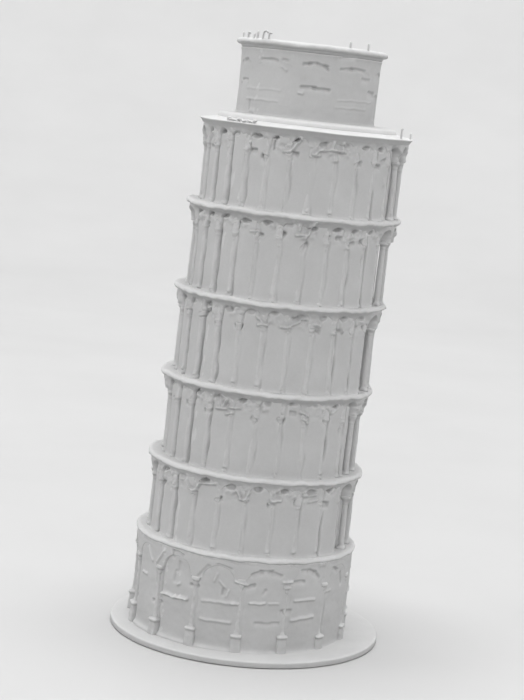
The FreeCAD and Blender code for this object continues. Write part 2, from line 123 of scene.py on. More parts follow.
def drum(node):
    low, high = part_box(node)
    radius = (high.y - low.y) / 2 / MM
    height = ((high.z - low.z) / MM - 2 * radius * math.sin(LEAN)) / math.cos(LEAN)
    middle = TOWER.inverted() @ ((low + high) / 2 / MM)
    return Drum(middle.x, radius, middle.z - height / 2, middle.z + height / 2)


def ledge_radius(node):
    low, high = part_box(node)
    return (high.y - low.y) / 2 / MM


# ---- Small maths ----


def smooth(low, high, value):
    """0 below low, 1 above high and a soft step between them."""
    share = min(max((value - low) / (high - low), 0.0), 1.0)
    return share * share * (3 - 2 * share)


def mix(first, second, share):
    return first + (second - first) * share


def around(centre, radius, angle, height):
    """The point at an angle round an upright axis."""
    return Vector((centre + radius * math.sin(angle), -radius * math.cos(angle), height))


def bearing(angle):
    """An angle in degrees, from -180 to 180."""
    return (math.degrees(angle) + 180) % 360 - 180


def lump(point, size, seed):
    """Smooth noise from -1 to 1 whose bumps are about size across. Each seed gives another pattern."""
    return noise.noise(point / size + Vector((seed, 2.3 * seed, -1.7 * seed)))


def grit(point, size, seed):
    """A small random push in all three directions."""
    return Vector([lump(point, size, seed + axis) for axis in range(3)])


def signed_power(value, power):
    return math.copysign(abs(value) ** power, value)


def arc(radius, level, depth, rise, start, end, count):
    """count + 1 points round an edge, from start to end degrees above its belly at (radius, level)."""
    turns = [math.radians(mix(start, end, step / count)) for step in range(count + 1)]
    return [(radius - depth * (1 - math.cos(turn)), level + rise * math.sin(turn)) for turn in turns]


def between(start, end, count):
    """count points from start up to, but not including, end."""
    return [tuple(mix(a, b, step / count) for a, b in zip(start, end)) for step in range(count)]


# ---- Mesh building ----


def finish_mesh(name, points, faces, placement):
    mesh = bpy.data.meshes.new(name)
    mesh.from_pydata([tuple(point) for point in points], [], faces)
    mesh.transform(Matrix.Scale(MM, 4) @ placement)
    sheet = bmesh.new()
    sheet.from_mesh(mesh)
    bmesh.ops.recalc_face_normals(sheet, faces=sheet.faces)
    sheet.to_mesh(mesh)
    sheet.free()
    for polygon in mesh.polygons:
        polygon.use_smooth = True
    return mesh


def place(name, node, slot, mesh):
    """Shows a mesh in place of a CAD node."""
    piece = bpy.data.objects.new(name, mesh)
    bpy.context.scene.collection.objects.link(piece)
    mesh.materials.append(MATERIALS[slot])
    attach(piece, "root")
    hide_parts(node)


def cast(node, slot, centre, profile, slices, shape):
    """Shows a turned piece in place of a CAD node."""
    place(node + "_cast", node, slot, lathe(node, centre, profile, slices, shape))


def lathe(name, centre, profile, slices, shape, placement=TOWER):
    """Turns a closed profile of (radius, height) points about an upright axis.

    The profile runs outwards along the bottom, up the outside and back inwards. shape(angle, radius,
    height) gives a point's final radius and height. A profile that starts and ends at radius 0 closes
    on the axis.
    """
    solid = profile[0][0] == 0
    ring = profile[1:-1] if solid else profile
    rows = len(ring)
    points = []
    faces = []
    for step in range(slices):
        angle = math.tau * step / slices
        for radius, height in ring:
            radius, height = shape(angle, radius, height)
            points.append(around(centre, radius, angle, height))
        here = step * rows
        there = (step + 1) % slices * rows
        for row in range(rows - 1 if solid else rows):
            after = (row + 1) % rows
            faces.append((here + row, there + row, there + after, here + after))
    if solid:
        for end, row in ((profile[0], 0), (profile[-1], rows - 1)):
            points.append(Vector((centre, 0, end[1])))
            for step in range(slices):
                faces.append((len(points) - 1, step * rows + row, (step + 1) % slices * rows + row))
    return finish_mesh(name, points, faces, placement)


def skin(faces, first, rows, corners):
    """Joins rows of corners that follow each other from point first, and caps both ends."""
    for row in range(rows - 1):
        for corner in range(corners):
            after = (corner + 1) % corners
            low = first + row * corners
            faces.append((low + corner, low + after, low + corners + after, low + corners + corner))
    for end in (first, first + (rows - 1) * corners):
        faces.append(tuple(range(end, end + corners)))


# A cross-section of an upright loft. centre is its distance from the tower's axis, width runs round the
# tower, depth runs outwards and power makes it round at 2 and squarer above.
Section = namedtuple("Section", "height centre width depth power")


def loft(points, faces, axis, angle, sections, corners, wobble):
    """Adds one closed upright loft to a mesh under construction."""
    outward = Vector((math.sin(angle), -math.cos(angle), 0))
    sideways = Vector((math.cos(angle), math.sin(angle), 0))
    first = len(points)
    for section in sections:
        middle = Vector((axis, 0, section.height)) + outward * section.centre
        for corner in range(corners):
            turn = math.tau * corner / corners
            across = signed_power(math.cos(turn), 2 / section.power) * section.width / 2
            out = signed_power(math.sin(turn), 2 / section.power) * section.depth / 2
            points.append(wobble(middle + sideways * across + outward * out))
    skin(faces, first, len(sections), corners)


def refine(sections, spacing):
    """Adds sections between those given, no further apart than spacing."""
    result = []
    for low, high in zip(sections, sections[1:]):
        count = max(1, math.ceil((high.height - low.height) / spacing))
        for step in range(count):
            result.append(Section(*(mix(a, b, step / count) for a, b in zip(low, high))))
    return result + [sections[-1]]


# ---- Materials ----


class Shader:
    """A principled material and a short way to add nodes to it."""

    def __init__(self, name):
        self.material = bpy.data.materials.new(name)
        self.material.use_nodes = True
        self.tree = self.material.node_tree
        self.surface = self.tree.nodes["Principled BSDF"]
        self.place = self.add("ShaderNodeTexCoord").outputs["Object"]

    def add(self, kind, inputs=None, **settings):
        node = self.tree.nodes.new(kind)
        for key, value in settings.items():
            setattr(node, key, value)
        for key, value in (inputs or {}).items():
            self.set(node.inputs[key], value)
        return node

    def set(self, socket, value):
        if isinstance(value, bpy.types.NodeSocket):
            self.tree.links.new(value, socket)
        else:
            socket.default_value = value

    def noise(self, size_mm, detail=3.0):
        """Noise from 0 to 1 whose patches are about size_mm across."""
        inputs = {"Vector": self.place, "Scale": 1 / (size_mm * MM), "Detail": detail, "Roughness": 0.55}
        return self.add("ShaderNodeTexNoise", inputs).outputs["Fac"]

    def fit(self, value, low, high, new_low, new_high):
        """Carries low to new_low and high to new_high, and holds both past the ends."""
        inputs = {"Value": value, "From Min": low, "From Max": high, "To Min": new_low, "To Max": new_high}
        return self.add("ShaderNodeMapRange", inputs).outputs["Result"]

    def math(self, operation, first, second):
        return self.add("ShaderNodeMath", {0: first, 1: second}, operation=operation).outputs["Value"]

    def times(self, first, second):
        return self.math("MULTIPLY", first, second)

    def bump(self, height, depth_mm, strength):
        inputs = {"Height": height, "Distance": depth_mm * MM, "Strength": strength}
        self.set(self.surface.inputs["Normal"], self.add("ShaderNodeBump", inputs).outputs["Normal"])

    def grey(self, value):
        inputs = {"Red": value, "Green": value, "Blue": value}
        return self.add("ShaderNodeCombineColor", inputs).outputs["Color"]


def stone(name, tone, grain):
    """Matte cast stone: mottled, pale on rubbed edges with painted shade in creases, painted shade on
    downward-facing surfaces, a painted highlight on upward-facing ones, and darker towards the bottom.
    """
    shader = Shader(name)
    mottle = shader.fit(shader.noise(9.0), 0.3, 0.7, 0.965, 1.03)
    speckle = shader.fit(shader.noise(0.55, detail=2.0), 0.35, 0.65, 0.985, 1.012)
    surface = shader.add("ShaderNodeNewGeometry")
    # Pointiness: convex edges paler, as rubbed wear; concave creases darker, as painted shade.
    edge_wear_and_crease_shade = shader.fit(surface.outputs["Pointiness"], 0.44, 0.56, 0.86, 1.1)
    facing = shader.add("ShaderNodeSeparateXYZ", {"Vector": surface.outputs["Normal"]}).outputs["Z"]
    # Painted shade: surfaces that face downwards are darker.
    shade = shader.fit(facing, -0.6, 0.0, 0.68, 1.0)
    # Painted highlight: surfaces that face upwards are lighter, as if lit from above.
    painted_top_light = shader.fit(facing, 0.0, 0.6, 0.925, 1.11)
    height = shader.add("ShaderNodeSeparateXYZ", {"Vector": shader.place}).outputs["Z"]
    # Darker towards the bottom of the object, lighter towards the top.
    height_tone = shader.fit(height, 0.0, 0.17, 0.975, 1.035)
    value = shader.times(shader.times(mottle, speckle), edge_wear_and_crease_shade)
    value = shader.times(shader.times(value, painted_top_light), shader.times(shade, height_tone))
    shader.set(shader.surface.inputs["Base Color"], shader.grey(shader.times(value, tone)))
    shader.set(shader.surface.inputs["Roughness"], shader.fit(shader.noise(2.5), 0.3, 0.7, 0.72, 0.92))
    shader.set(shader.surface.inputs["Specular IOR Level"], 0.25)
    shader.bump(shader.math("ADD", shader.noise(0.35), shader.times(shader.noise(1.6), 1.6)), grain, 0.5)
    return shader.material


def steel(name):
    """Plain zinc-plated steel with fine drawing marks."""
    shader = Shader(name)
    streak = shader.fit(shader.noise(0.2, detail=1.0), 0.3, 0.7, 0.25, 0.42)
    shader.set(shader.surface.inputs["Base Color"], (0.6, 0.61, 0.63, 1))
    shader.set(shader.surface.inputs["Metallic"], 1.0)
    shader.set(shader.surface.inputs["Roughness"], streak)
    shader.bump(streak, 0.01, 0.3)
    return shader.material


def floor_paint():
    shader = Shader("pale_floor")
    shade = shader.fit(shader.noise(120.0), 0.3, 0.7, 0.60, 0.63)
    shader.set(shader.surface.inputs["Base Color"], shader.grey(shade))
    shader.set(shader.surface.inputs["Roughness"], 0.9)
    return shader.material


MATERIALS = {
    "wall_stone": stone("wall_stone", 0.63, 0.10),
    "trim_stone": stone("trim_stone", 0.63, 0.10),
    "base_stone": stone("base_stone", 0.61, 0.08),
    "railing_wire": stone("railing_wire", 0.60, 0.04),
    "rod_steel": steel("rod_steel"),
}

# ---- Base ----


def make_base():
    low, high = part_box("base_disc")
    radius = (high.x - low.x) / 2 / MM
    profile = [(0, 0)] + between((2, 0), (radius - BASE_EDGE, 0), 6)
    profile += arc(radius, BASE_EDGE, BASE_EDGE, BASE_EDGE, -90, 0, 4)
    profile += arc(radius, BASE_TOP - BASE_ROLL, BASE_ROLL, BASE_ROLL, 0, 90, 8)
    profile += between((radius - BASE_ROLL - 0.4, BASE_TOP), (2, BASE_TOP), 30) + [(0, BASE_TOP)]

    def shape(angle, r, z):
        point = around(0, r, angle, 0)
        rise = smooth(0.4, BASE_TOP, z)
        r -= 0.12 * smooth(radius - 3, radius, r) * (1 + lump(point, 9.0, 1))
        return r, z + 0.06 * rise * (lump(point, 14.0, 2) - 1) + 0.03 * rise * lump(point, 3.0, 3)

    mesh = lathe("base_disc", 0, profile, PLAIN_SLICES, shape, Matrix.Identity(4))
    place("base", "base_disc", "base_stone", mesh)


# ---- Worn relief ----

# A ridge (relief above 0) or an undercut line (below 0) on a storey's face. angle and height place its
# middle, length and width are across the face, and tilt turns it from level, in degrees. Each row below is
# one stroke. It leaves out a width of 0.5, and a tilt of 0 before that.
Stroke = namedtuple("Stroke", "angle height length relief tilt width", defaults=(0, 0.5))
GROUND_STROKES = [
    # left bay: a bracket, a window's jambs and a deep sill
    (-56, 22, 4.4, 0.45, -56, 0.42), (-47, 22.4, 4.6, 0.38, 56, 0.42), (-35.5, 25.2, 3.6, -0.5, -8, 0.4),
    (-39, 24.2, 1.6, -0.45, 90, 0.3), (-34.8, 21.2, 2.2, -0.3, 88, 0.7), (-36.5, 18.2, 3, -0.3, 80, 0.7),
    (-48.6, 16.8, 4.2, -0.55, 94, 0.45), (-33.2, 16.2, 1.2, 0.35, 35, 0.45),
    (-35.7, 12.2, 9, 1.2, 2, 0.42), (-46.8, 9.4, 3.2, -0.6, 3, 0.4), (-60.5, 15.4, 3, 0.4, 4, 0.4),
    (-69, 7.8, 2, -0.4, 8, 0.35),
    # bay left of the middle: the arch's ends, courses and a worn carving
    (-20, 21.8, 4.4, -0.3, 52, 0.6), (-9, 24, 4, -0.3, -10, 0.6), (-24, 17.2, 2.2, -0.6, 0, 0.35),
    (-10.5, 13.5, 9.4, 0.34, 4, 0.45), (-1.5, 13.8, 1.6, 0.45, 0, 0.4), (-11, 8, 8.8, 0.34, 1, 0.45),
    (-12.6, 20.6, 2, 0.26, 75, 0.34), (-9, 18.8, 2.4, 0.3, -50, 0.34), (-8.6, 16.8, 1.6, -0.38, 80, 0.4),
    (-6.2, 16.4, 1.8, 0.3, 70, 0.34), (0.5, 19.8, 3.4, 0.42, -14, 0.36), (4, 19.2, 3.4, -0.65, 18, 0.4),
    # bay right of the middle
    (8, 23.3, 2.8, -0.45, 20, 0.55), (12.5, 24, 3.4, -0.45, 2, 0.55), (17.5, 23.3, 3.4, -0.4, -16, 0.55),
    (9.5, 14.4, 4, 0.5, 2, 0.38), (18, 14.5, 2.8, 0.3, 0, 0.34), (15.5, 8.8, 7, -0.3, 2, 0.4),
    (12, 17.8, 1.2, -0.3, 60, 0.35),
    # right bays
    (24.3, 20.8, 2.6, 0.7, 0, 0.38), (31, 21, 3.4, -0.5, 2, 0.4), (25, 12.4, 3, -0.4, 0, 0.6),
    (34.5, 24.3, 2.6, -0.42, 0, 0.55), (38.5, 23.8, 2.6, -0.48, -18, 0.55),
    (42, 22.6, 2.2, -0.48, -42, 0.55), (35.8, 15.4, 6.8, 0.44, 1, 0.4), (35.5, 9.9, 7.6, 0.4, 3, 0.55),
    (43.4, 26, 1.6, 0.6, 90, 0.28), (45.1, 26.1, 1.8, 0.6, 90, 0.28), (46.8, 26, 1.6, 0.5, 90, 0.28),
    (57.5, 23.4, 2.6, -0.55, -20, 0.4), (52, 17, 2.2, 0.25, 5, 0.35), (64.5, 20, 3.6, -0.5, -75, 0.4),
]

# Drips, lumps and lace that the casting left under the ledges, and a few flaws lower down.
GALLERY_STROKES = {
    "gallery_1": [
        (-60, 15.6, 2.4, -0.6), (-49, 15.3, 1.6, -0.7), (-37.5, 17.6, 2, 0.55, -50, 0.4),
        (-34.5, 16.2, 2.6, 0.8, -10, 0.45), (-31, 17.2, 3, 0.6, 55, 0.4), (-25, 18.7, 4.2, 0.55, 4, 0.4),
        (-18, 15.2, 1.4, -0.7, 30), (-7.3, 17, 2, 0.7, -62, 0.35), (-4.6, 15.8, 2, 0.9, 0, 0.45),
        (-2.6, 17, 1.8, 0.6, 62, 0.35), (13, 16.4, 2.4, 0.95, 4, 0.6), (10.6, 15.2, 1.2, -0.6),
        (25.5, 16, 1.4, -0.6, -20), (33, 18.2, 3.4, 0.5, 0, 0.9), (35, 16.4, 2.6, 0.4, 10, 0.4),
        (45.5, 15.6, 1.6, -0.8, 0, 0.6),
    ],
    "gallery_2": [
        (-63, 17.2, 3.4, -0.6, 0, 0.45), (-49, 17.4, 2.4, -0.7, -4, 0.45), (-33.5, 16.8, 1.6, -0.7),
        (-26, 20, 2.2, 0.7, -60, 0.4), (-24.4, 18, 2.6, 0.9), (-22.3, 19.8, 2.4, 0.7, 60, 0.4),
        (-16.5, 18.7, 3, 0.7, 6, 0.45), (-19.5, 16.8, 1.8, 0.6, 20, 0.4), (-15, 10.2, 0.9, 0.5, 0, 0.4),
        (-5, 16.2, 1.2, -0.8, -40), (10, 16.9, 1.3, -0.9, 0, 0.6), (16.6, 19.2, 1.4, -0.5, 0, 0.6),
        (23, 18.8, 2.2, 0.8, -30, 0.45), (24, 16.6, 1.8, 0.5, -30, 0.4),
        (38.6, 17.2, 1.8, -0.9, -10, 0.6), (44, 19.6, 2.4, 0.5, 30), (52, 13, 2.4, -0.4, -70, 0.4),
    ],
    "gallery_3": [
        (-62.5, 19, 3, 0.5, 6, 0.45), (-45.5, 19.6, 3.6, -0.6, 30), (-36, 17, 1.2, -0.5),
        (-22, 17.6, 1.4, -0.9, 0, 0.55), (-10.4, 20.2, 2, 0.6, -50, 0.4),
        (-8.2, 18.5, 2.2, 0.95, 0, 0.55), (4.6, 18.6, 2.6, 0.6, 0, 0.45), (9, 19.6, 3, 0.6, 24, 0.45),
        (9.6, 21.4, 1.2, -0.6), (14.5, 20.8, 1.2, -0.5, 0, 0.45), (22, 19.8, 1.6, 0.9, -20, 0.6),
        (22, 18, 1.8, -0.6), (38, 19.4, 2.6, 0.6, -75, 0.45), (35.5, 18.6, 1.4, -0.6),
        (47.2, 18.6, 1.5, -0.8, 0, 0.55), (35, 12, 3, 0.25, 85, 0.35), (59, 19.6, 1.8, -0.8, 0, 0.7),
    ],
    "gallery_4": [
        (-58, 19, 2.6, -0.7), (-33.8, 19.2, 2.6, -0.6, 70, 0.45), (-21, 18.8, 2.4, 0.4, 4, 0.4),
        (-18, 18.5, 1.3, -0.7, 0, 0.45), (-5.5, 19.6, 1.5, -0.9, -20, 0.6), (4, 21.2, 1.6, 0.6, 80, 0.45),
        (10, 21, 5.2, 0.8, 62), (5.6, 19.4, 3, 0.7, 6, 0.45), (7.2, 16.6, 1.6, -0.6, 50),
        (20, 19.6, 1.2, -0.6), (27.3, 19.5, 1.2, -0.8), (35.3, 18, 1.6, -0.6, 20, 0.45),
        (44, 19, 2, -0.8, 8, 0.6), (44.3, 11, 5, -0.25, 92, 0.35),
    ],
    "gallery_5": [
        (-63, 15.6, 3, -0.4, 0, 0.4), (-30, 16.3, 1.8, -0.8, 6), (-22.4, 14.8, 1.3, -0.8, -20),
        (-17.6, 18.2, 2, -0.5, 88, 0.35), (-5.4, 18.6, 4.8, 0.7, 55), (-10, 16.8, 1.6, 0.6, 0, 0.45),
        (-5.4, 16.7, 1.3, -0.8), (6, 16.6, 1.6, 0.8), (8, 18, 2.6, 0.6, 40, 0.4),
        (12.5, 18.3, 3.6, 0.75, 6, 0.4), (18, 18.2, 4, 0.75, -6, 0.4), (20.8, 19.4, 2, 0.5, 88, 0.4),
        (15, 19.8, 1.4, 0.5, 70, 0.4), (31.6, 15.6, 1.5, -0.7, 14), (46, 15.4, 2.2, -0.7),
        (50.5, 16.9, 1.6, -0.5, 20, 0.45), (29.5, 6, 5, -0.25, 88, 0.35), (53.4, 10.4, 0.9, 0.5, 0, 0.4),
    ],
}

BELFRY_STROKES = [
    (-66.5, 14.9, 2.2, -0.45, 2, 0.4), (-66, 9.5, 3.6, -0.45, 2, 0.4), (-36.5, 15.6, 5.4, -0.5, 1, 0.32),
    (-21.5, 15.9, 1.4, -0.35, -4, 0.3), (-3.8, 15.4, 1.8, -0.55, 5, 0.35), (0.8, 15.7, 2, -0.5, 6, 0.35),
    (9, 15.5, 2.8, -0.6, -8, 0.35), (12.8, 14.9, 1.1, -0.6, -45, 0.35), (-0.5, 9.2, 3.8, -0.6, 3, 0.4),
    (9.5, 8.9, 4.4, -0.65, -2, 0.4), (30.5, 15.2, 4, -0.4, 4, 0.35), (41.5, 15.4, 5.4, -0.45, -2, 0.32),
    (29, 18.4, 4.6, -0.4, 8, 0.6), (52, 12.9, 3.4, -0.35, 1), (63, 9.2, 3.4, -0.45, -4, 0.6),
    (-6.2, 7.2, 0.9, 0.45, 0, 0.4), (-22, 13.4, 1.6, 0.25, -30, 0.6), (-50, 0.6, 2, 0.25, 0, 0.8),
    (-54.5, 2.2, 2.4, -0.3, 90, 0.4), (-40, 7.2, 14, 0.12, 1, 0.34), (-42, 4.1, 12, 0.14, 1, 0.38),
    (44, 6.5, 13, 0.14, 1, 0.3), (38, 4.4, 12, 0.12, 1, 0.3),
]
SECTOR = 15.0  # degrees
STROKE_STRENGTH = 1.7
SHALLOW_STRENGTH = 1.2  # on the ground storey and the belfry
STROKE_WAVER = 0.3  # how far a stroke wanders
STROKE_END = 0.4  # how softly its ends fade
STROKE_MARGIN = 1.6  # it is not felt further than this past its ends
RIDGE_SIDES = (0.55, 1.1)  # how wide a ridge is below and above its line, for a width of 1
GROOVE_SIDES = (1.6, 0.45)
DEEPEST = -1.3
HIGHEST = 1.5


def strokes_by_sector(strokes):
    """The strokes that can reach each sector of the drum."""
    sectors = {}
    for stroke in (Stroke(*row) for row in strokes):
        middle = round(stroke.angle / SECTOR)
        for sector in (middle - 1, middle, middle + 1):
            sectors.setdefault(sector, []).append(stroke)
    return sectors


def bell(value, width):
    return math.exp(-(value / width) ** 2)


def stroke_relief(sectors, radius, angle, height, strength=STROKE_STRENGTH):
    """How far the strokes raise or sink a point. Ridges are crisp below, undercut lines above."""
    turn = bearing(angle)
    near = sectors.get(round(turn / SECTOR), ())
    if not near:
        return 0
    total = 0
    spot = Vector((math.radians(turn) * radius, 0, height))
    waver = STROKE_WAVER * lump(spot, 2.4, 44)
    for stroke in near:
        across = math.radians(turn - stroke.angle) * radius + waver
        rise = height - stroke.height + waver
        if math.hypot(across, rise) > stroke.length / 2 + STROKE_MARGIN:
            continue
        tilt = math.radians(stroke.tilt)
        along = across * math.cos(tilt) + rise * math.sin(tilt)
        off = rise * math.cos(tilt) - across * math.sin(tilt)
        past = max(abs(along) - stroke.length / 2, 0)
        below, above = RIDGE_SIDES if stroke.relief > 0 else GROOVE_SIDES
        width = stroke.width * (below if off < 0 else above)
        total += stroke.relief * bell(off, width) * bell(past, STROKE_END)
    return max(DEEPEST, min(strength * total, HIGHEST))


# ---- Drum walls ----

# The casting is closed by webs between the columns from WEB_START to WEB_END, and open elsewhere.
# The ground storey's webs go further round.
WEB_START = -76.0
WEB_END = 63.0
GROUND_WEB_END = 92.0
WEB_FADE = 5.0
WEB_LEVEL = 0.03  # how far behind the columns' faces the webs lie
WEB_SLOPE = 0.16  # how far a web falls back across its bay
CREASE_OFFSET = 1.2  # from a column's axis to the crease beside it
CREASE = 0.33  # a crease's width, and how wide its far side grows on the left
WIDE_CREASE = 0.75
FRONT_CREASE = 0.25  # depths at the front, on the left and on the right
LEFT_CREASE = 1.75
RIGHT_CREASE = 1.3
LEFT_FADE = (-56, -16)  # directions in degrees between which the creases change
RIGHT_FADE = (24, 50)
CRUMB_RELIEF = 0.75
CRUMB_DROP = 2.8  # from the ledge to where the crumbs are thickest
CRUMB_SPREAD = 2.0
DRIP_ABOVE = 1.1  # how far a drip fades above and below its belly
DRIP_BELOW = 0.3
POCKET_DEPTH = 1.2  # of the dark hollow under an arch's crown
POCKET_WIDTH = 1.5
POCKET_HEIGHT = 0.8


def side_of_web(angle, end=WEB_END):
    """1 where webs close the bays, 0 where the columns stand free."""
    turn = bearing(angle)
    return smooth(WEB_START - WEB_FADE, WEB_START + WEB_FADE, turn) * (
        1 - smooth(end - WEB_FADE, end + WEB_FADE, turn))


def pitches(storey, angle):
    """How many bays a direction lies past the storey's first column."""
    return (math.degrees(angle) - storey.turn) * storey.columns / 360


def bay_share(storey, angle):
    """How far across its bay a direction lies, from 0 at one column to 1 at the next, and which bay."""
    past = pitches(storey, angle)
    index = math.floor(past)
    return past - index, index % storey.columns


def web_radius(storey, face, pitch, angle, point, bays):
    """The web's surface: flush with the column on its right, creased beside the one on its left."""
    share, index = bay_share(storey, angle)
    level, crease = bays[index][:2]
    turn = bearing(angle)
    left = 1 - smooth(*LEFT_FADE, turn)
    right = smooth(*RIGHT_FADE, turn)
    depth = max(mix(FRONT_CREASE, LEFT_CREASE, left), mix(FRONT_CREASE, RIGHT_CREASE, right)) * crease
    depth *= mix(0.7 + 1.5 * lump(point, 5.0, 41), 1 + 0.5 * lump(point, 4.0, 41), left)
    across = share * pitch - CREASE_OFFSET - 0.5 * lump(point, 4.0, 49)
    width = CREASE if across < 0 else mix(CREASE, WIDE_CREASE, left)
    return face - level - WEB_SLOPE * (1 - share) - max(depth, 0) * bell(across, width)


def crumbs(point, drop):
    """Small lumps and pits that gather under a ledge, where the casting is worst."""
    patch = smooth(-0.15, 0.35, lump(point, 6.0, 47))
    bumps = lump(point, 1.7, 46) + 0.3 * lump(point, 0.8, 48)
    return CRUMB_RELIEF * patch * bell(drop - CRUMB_DROP, CRUMB_SPREAD) * bumps


def teardrop(across, rise, width):
    """A drip that hangs: long above its belly and cut off sharply below it."""
    return bell(across, width) * bell(rise, DRIP_ABOVE if rise > 0 else DRIP_BELOW)


def column_drips(storey, chance):
    """For each column the height and size of a drip at its head and of a lump at its foot."""
    columns = range(storey.columns)
    heads = [(ARCADE_HEIGHT + chance.uniform(-0.8, 1.6), chance.uniform(0.15, 0.8)) for _ in columns]
    feet = [(chance.uniform(0.9, 1.7), chance.uniform(-0.1, 0.6)) for _ in columns]
    return list(zip(heads, feet))


def drip_relief(storey, drips, pitch, angle, rise, drop):
    """The drips on the nearest column. rise is up from the floor, drop down from the ledge."""
    past = pitches(storey, angle)
    index = round(past)
    across = (past - index) * pitch - 0.25
    head, foot = drips[index % storey.columns]
    relief = head[1] * teardrop(across, head[0] - drop, 0.75)
    return relief + max(foot[1], 0) * teardrop(across, rise - foot[0], 0.6)


FOOT_ROW = 0.3  # distances between the rows of a wall's mesh
MIDDLE_ROW = 1.1
HEAD_ROW = 0.32


def wall_rows(bottom, top):
    """Heights up a gallery wall, close together at the foot and under the arches."""
    rows = [bottom - SINK] + [bottom + FOOT_ROW * step for step in range(9)]
    middle = top - ARCADE_HEIGHT - 2.6
    count = math.ceil((middle - rows[-1]) / MIDDLE_ROW)
    rows += [mix(rows[-1], middle, step / count) for step in range(1, count)]
    count = math.ceil((top - middle) / HEAD_ROW)
    return rows + [mix(middle, top + SINK, step / count) for step in range(count + 1)]


def wall_profile(radius, rows, thickness=WALL_THICKNESS):
    outside = [(radius, height) for height in rows]
    return outside + [(radius - thickness, rows[-1]), (radius - thickness, rows[0])]


def make_gallery_wall(storey, size, arches):
    """The drum between two ledges, with webs, a curled foot and a pocket under each arch's crown."""
    chance = random.Random(storey.name + " wall")
    radius = size.radius
    face = radius + WALK_DEPTH
    pitch = math.tau * (face - COLUMN_RADIUS) / storey.columns
    bays = [(WEB_LEVEL + chance.uniform(-0.1, 0.14), chance.uniform(0.7, 1.15), chance.uniform(0.5, 1.5))
            for _ in range(storey.columns)]
    sectors = strokes_by_sector(GALLERY_STROKES[storey.name])
    drips = column_drips(storey, chance)

    def shape(angle, r, z):
        if r < radius:
            return r, z
        point = around(0, r, angle, z)
        web = web_radius(storey, face, pitch, angle, point, bays)
        closed = side_of_web(angle)
        r = mix(r, web, closed)
        share, index = bay_share(storey, angle)
        arch = arches[index]
        crown = arch.spring + arch.half_width
        across = (share - 0.5) * pitch - arch.shift + 0.5
        pocket = math.hypot(across / POCKET_WIDTH, (z - crown + 0.6) / POCKET_HEIGHT)
        pocket += 0.8 * lump(point, 1.9, 43)
        r -= POCKET_DEPTH * bays[index][2] * (1 - smooth(0.5, 1.15, pocket))
        r += stroke_relief(sectors, face, angle, z - size.bottom)
        drop = size.top - z
        r += closed * (drip_relief(storey, drips, pitch, angle, z - size.bottom, drop) + crumbs(point, drop))
        flare = 0.55 * math.exp(-max(z - size.bottom, 0) / 0.5)
        return r + flare + 0.09 * lump(point, 7.0, 4) + 0.035 * lump(point, 1.8, 5), z

    name = storey.name + "_wall"
    profile = wall_profile(radius, wall_rows(size.bottom, size.top))
    cast(name, "wall_stone", size.centre, profile, storey.columns * WALL_SLICES_PER_BAY, shape)


# ---- Columns ----


def column_sections(bottom, top, centre, webbed, chance):
    """The cross-sections of one column, from its foot to its abacus. Webbed ones run on into the arcade."""
    size = 2 * COLUMN_RADIUS * chance.uniform(0.93, 1.07)
    foot = size * mix(chance.uniform(1.3, 1.5), 1.2, webbed)
    head = size * mix(chance.uniform(1.1, 1.45), chance.uniform(1.0, 1.2), webbed)
    neck = top - 1.75 * chance.uniform(0.7, 1.4)
    tie = chance.uniform(0.0, 0.35)
    shaft = [
        (bottom - SINK, foot, 3.0),
        (bottom + 0.35, foot, 2.8),
        (bottom + 0.75, size * 1.2, 2.3),
        (bottom + 1.2, size, 2.0),
        (mix(bottom, neck, 0.6), size * 0.97, 2.0),
        (neck - 0.3, size * 0.88, 2.0),
        (neck, size * 1.02, 2.0),
        (neck + 0.3, size * 0.92, 2.2),
    ]
    capital = [
        (mix(neck, top, 0.6), head * 0.93, head, 2.8),
        (top - 0.4, head * 1.08, head * 1.05, 4.0),
        (top - 0.1, head * 1.05, head, 3.4),
        (top + mix(0.4, 3.0, webbed), head * 0.75, head * 0.7, 3.0),
    ]
    sections = [Section(height, centre, width, width, power) for height, width, power in shaft]
    for height, width, depth, power in capital:
        sections.append(Section(height, centre - tie / 2, width, depth + tie, power))
    return sections


def make_gallery_columns(storey, drum_size):
    chance = random.Random(storey.name)
    centre = drum_size.radius + WALK_DEPTH - COLUMN_RADIUS
    top = drum_size.top - ARCADE_HEIGHT
    points = []
    faces = []
    for index in range(storey.columns):
        angle = math.radians(storey.turn + 360 / storey.columns * index)
        seed = chance.uniform(0, 50)
        webbed = side_of_web(angle)

        def wobble(point):
            sway = Vector((lump(point, 11.0, seed), lump(point, 11.0, seed + 7), 0))
            near_end = 1 - smooth(0.8, 2.6, min(point.z - drum_size.bottom, top - point.z + 0.8))
            rough = 0.05 + 0.22 * near_end
            ripple = Vector((lump(point, 4.0, seed + 3), lump(point, 4.0, seed + 5), 0))
            return point + 0.22 * sway + 0.2 * webbed * ripple + rough * grit(point, 0.9, 11)

        sections = refine(column_sections(drum_size.bottom, top, centre, webbed, chance), SECTION_GAP)
        loft(points, faces, drum_size.centre, angle, sections, COLUMN_CORNERS, wobble)
    name = storey.name + "_columns"
    mesh = finish_mesh(name, points, faces, TOWER)
    place(name + "_cast", name, "trim_stone", mesh)


# ---- Arcades ----

Arch = namedtuple("Arch", "shift half_width spring")


def arch_distance(storey, arches, pitch, angle, height):
    """Distance to the nearest arch's edge, negative inside its opening."""
    past = pitches(storey, angle) - 0.5
    index = round(past)
    arch = arches[index % storey.columns]
    across = (past - index) * pitch - arch.shift
    rise = max(height - arch.spring, 0)
    return math.hypot(across, rise) - arch.half_width


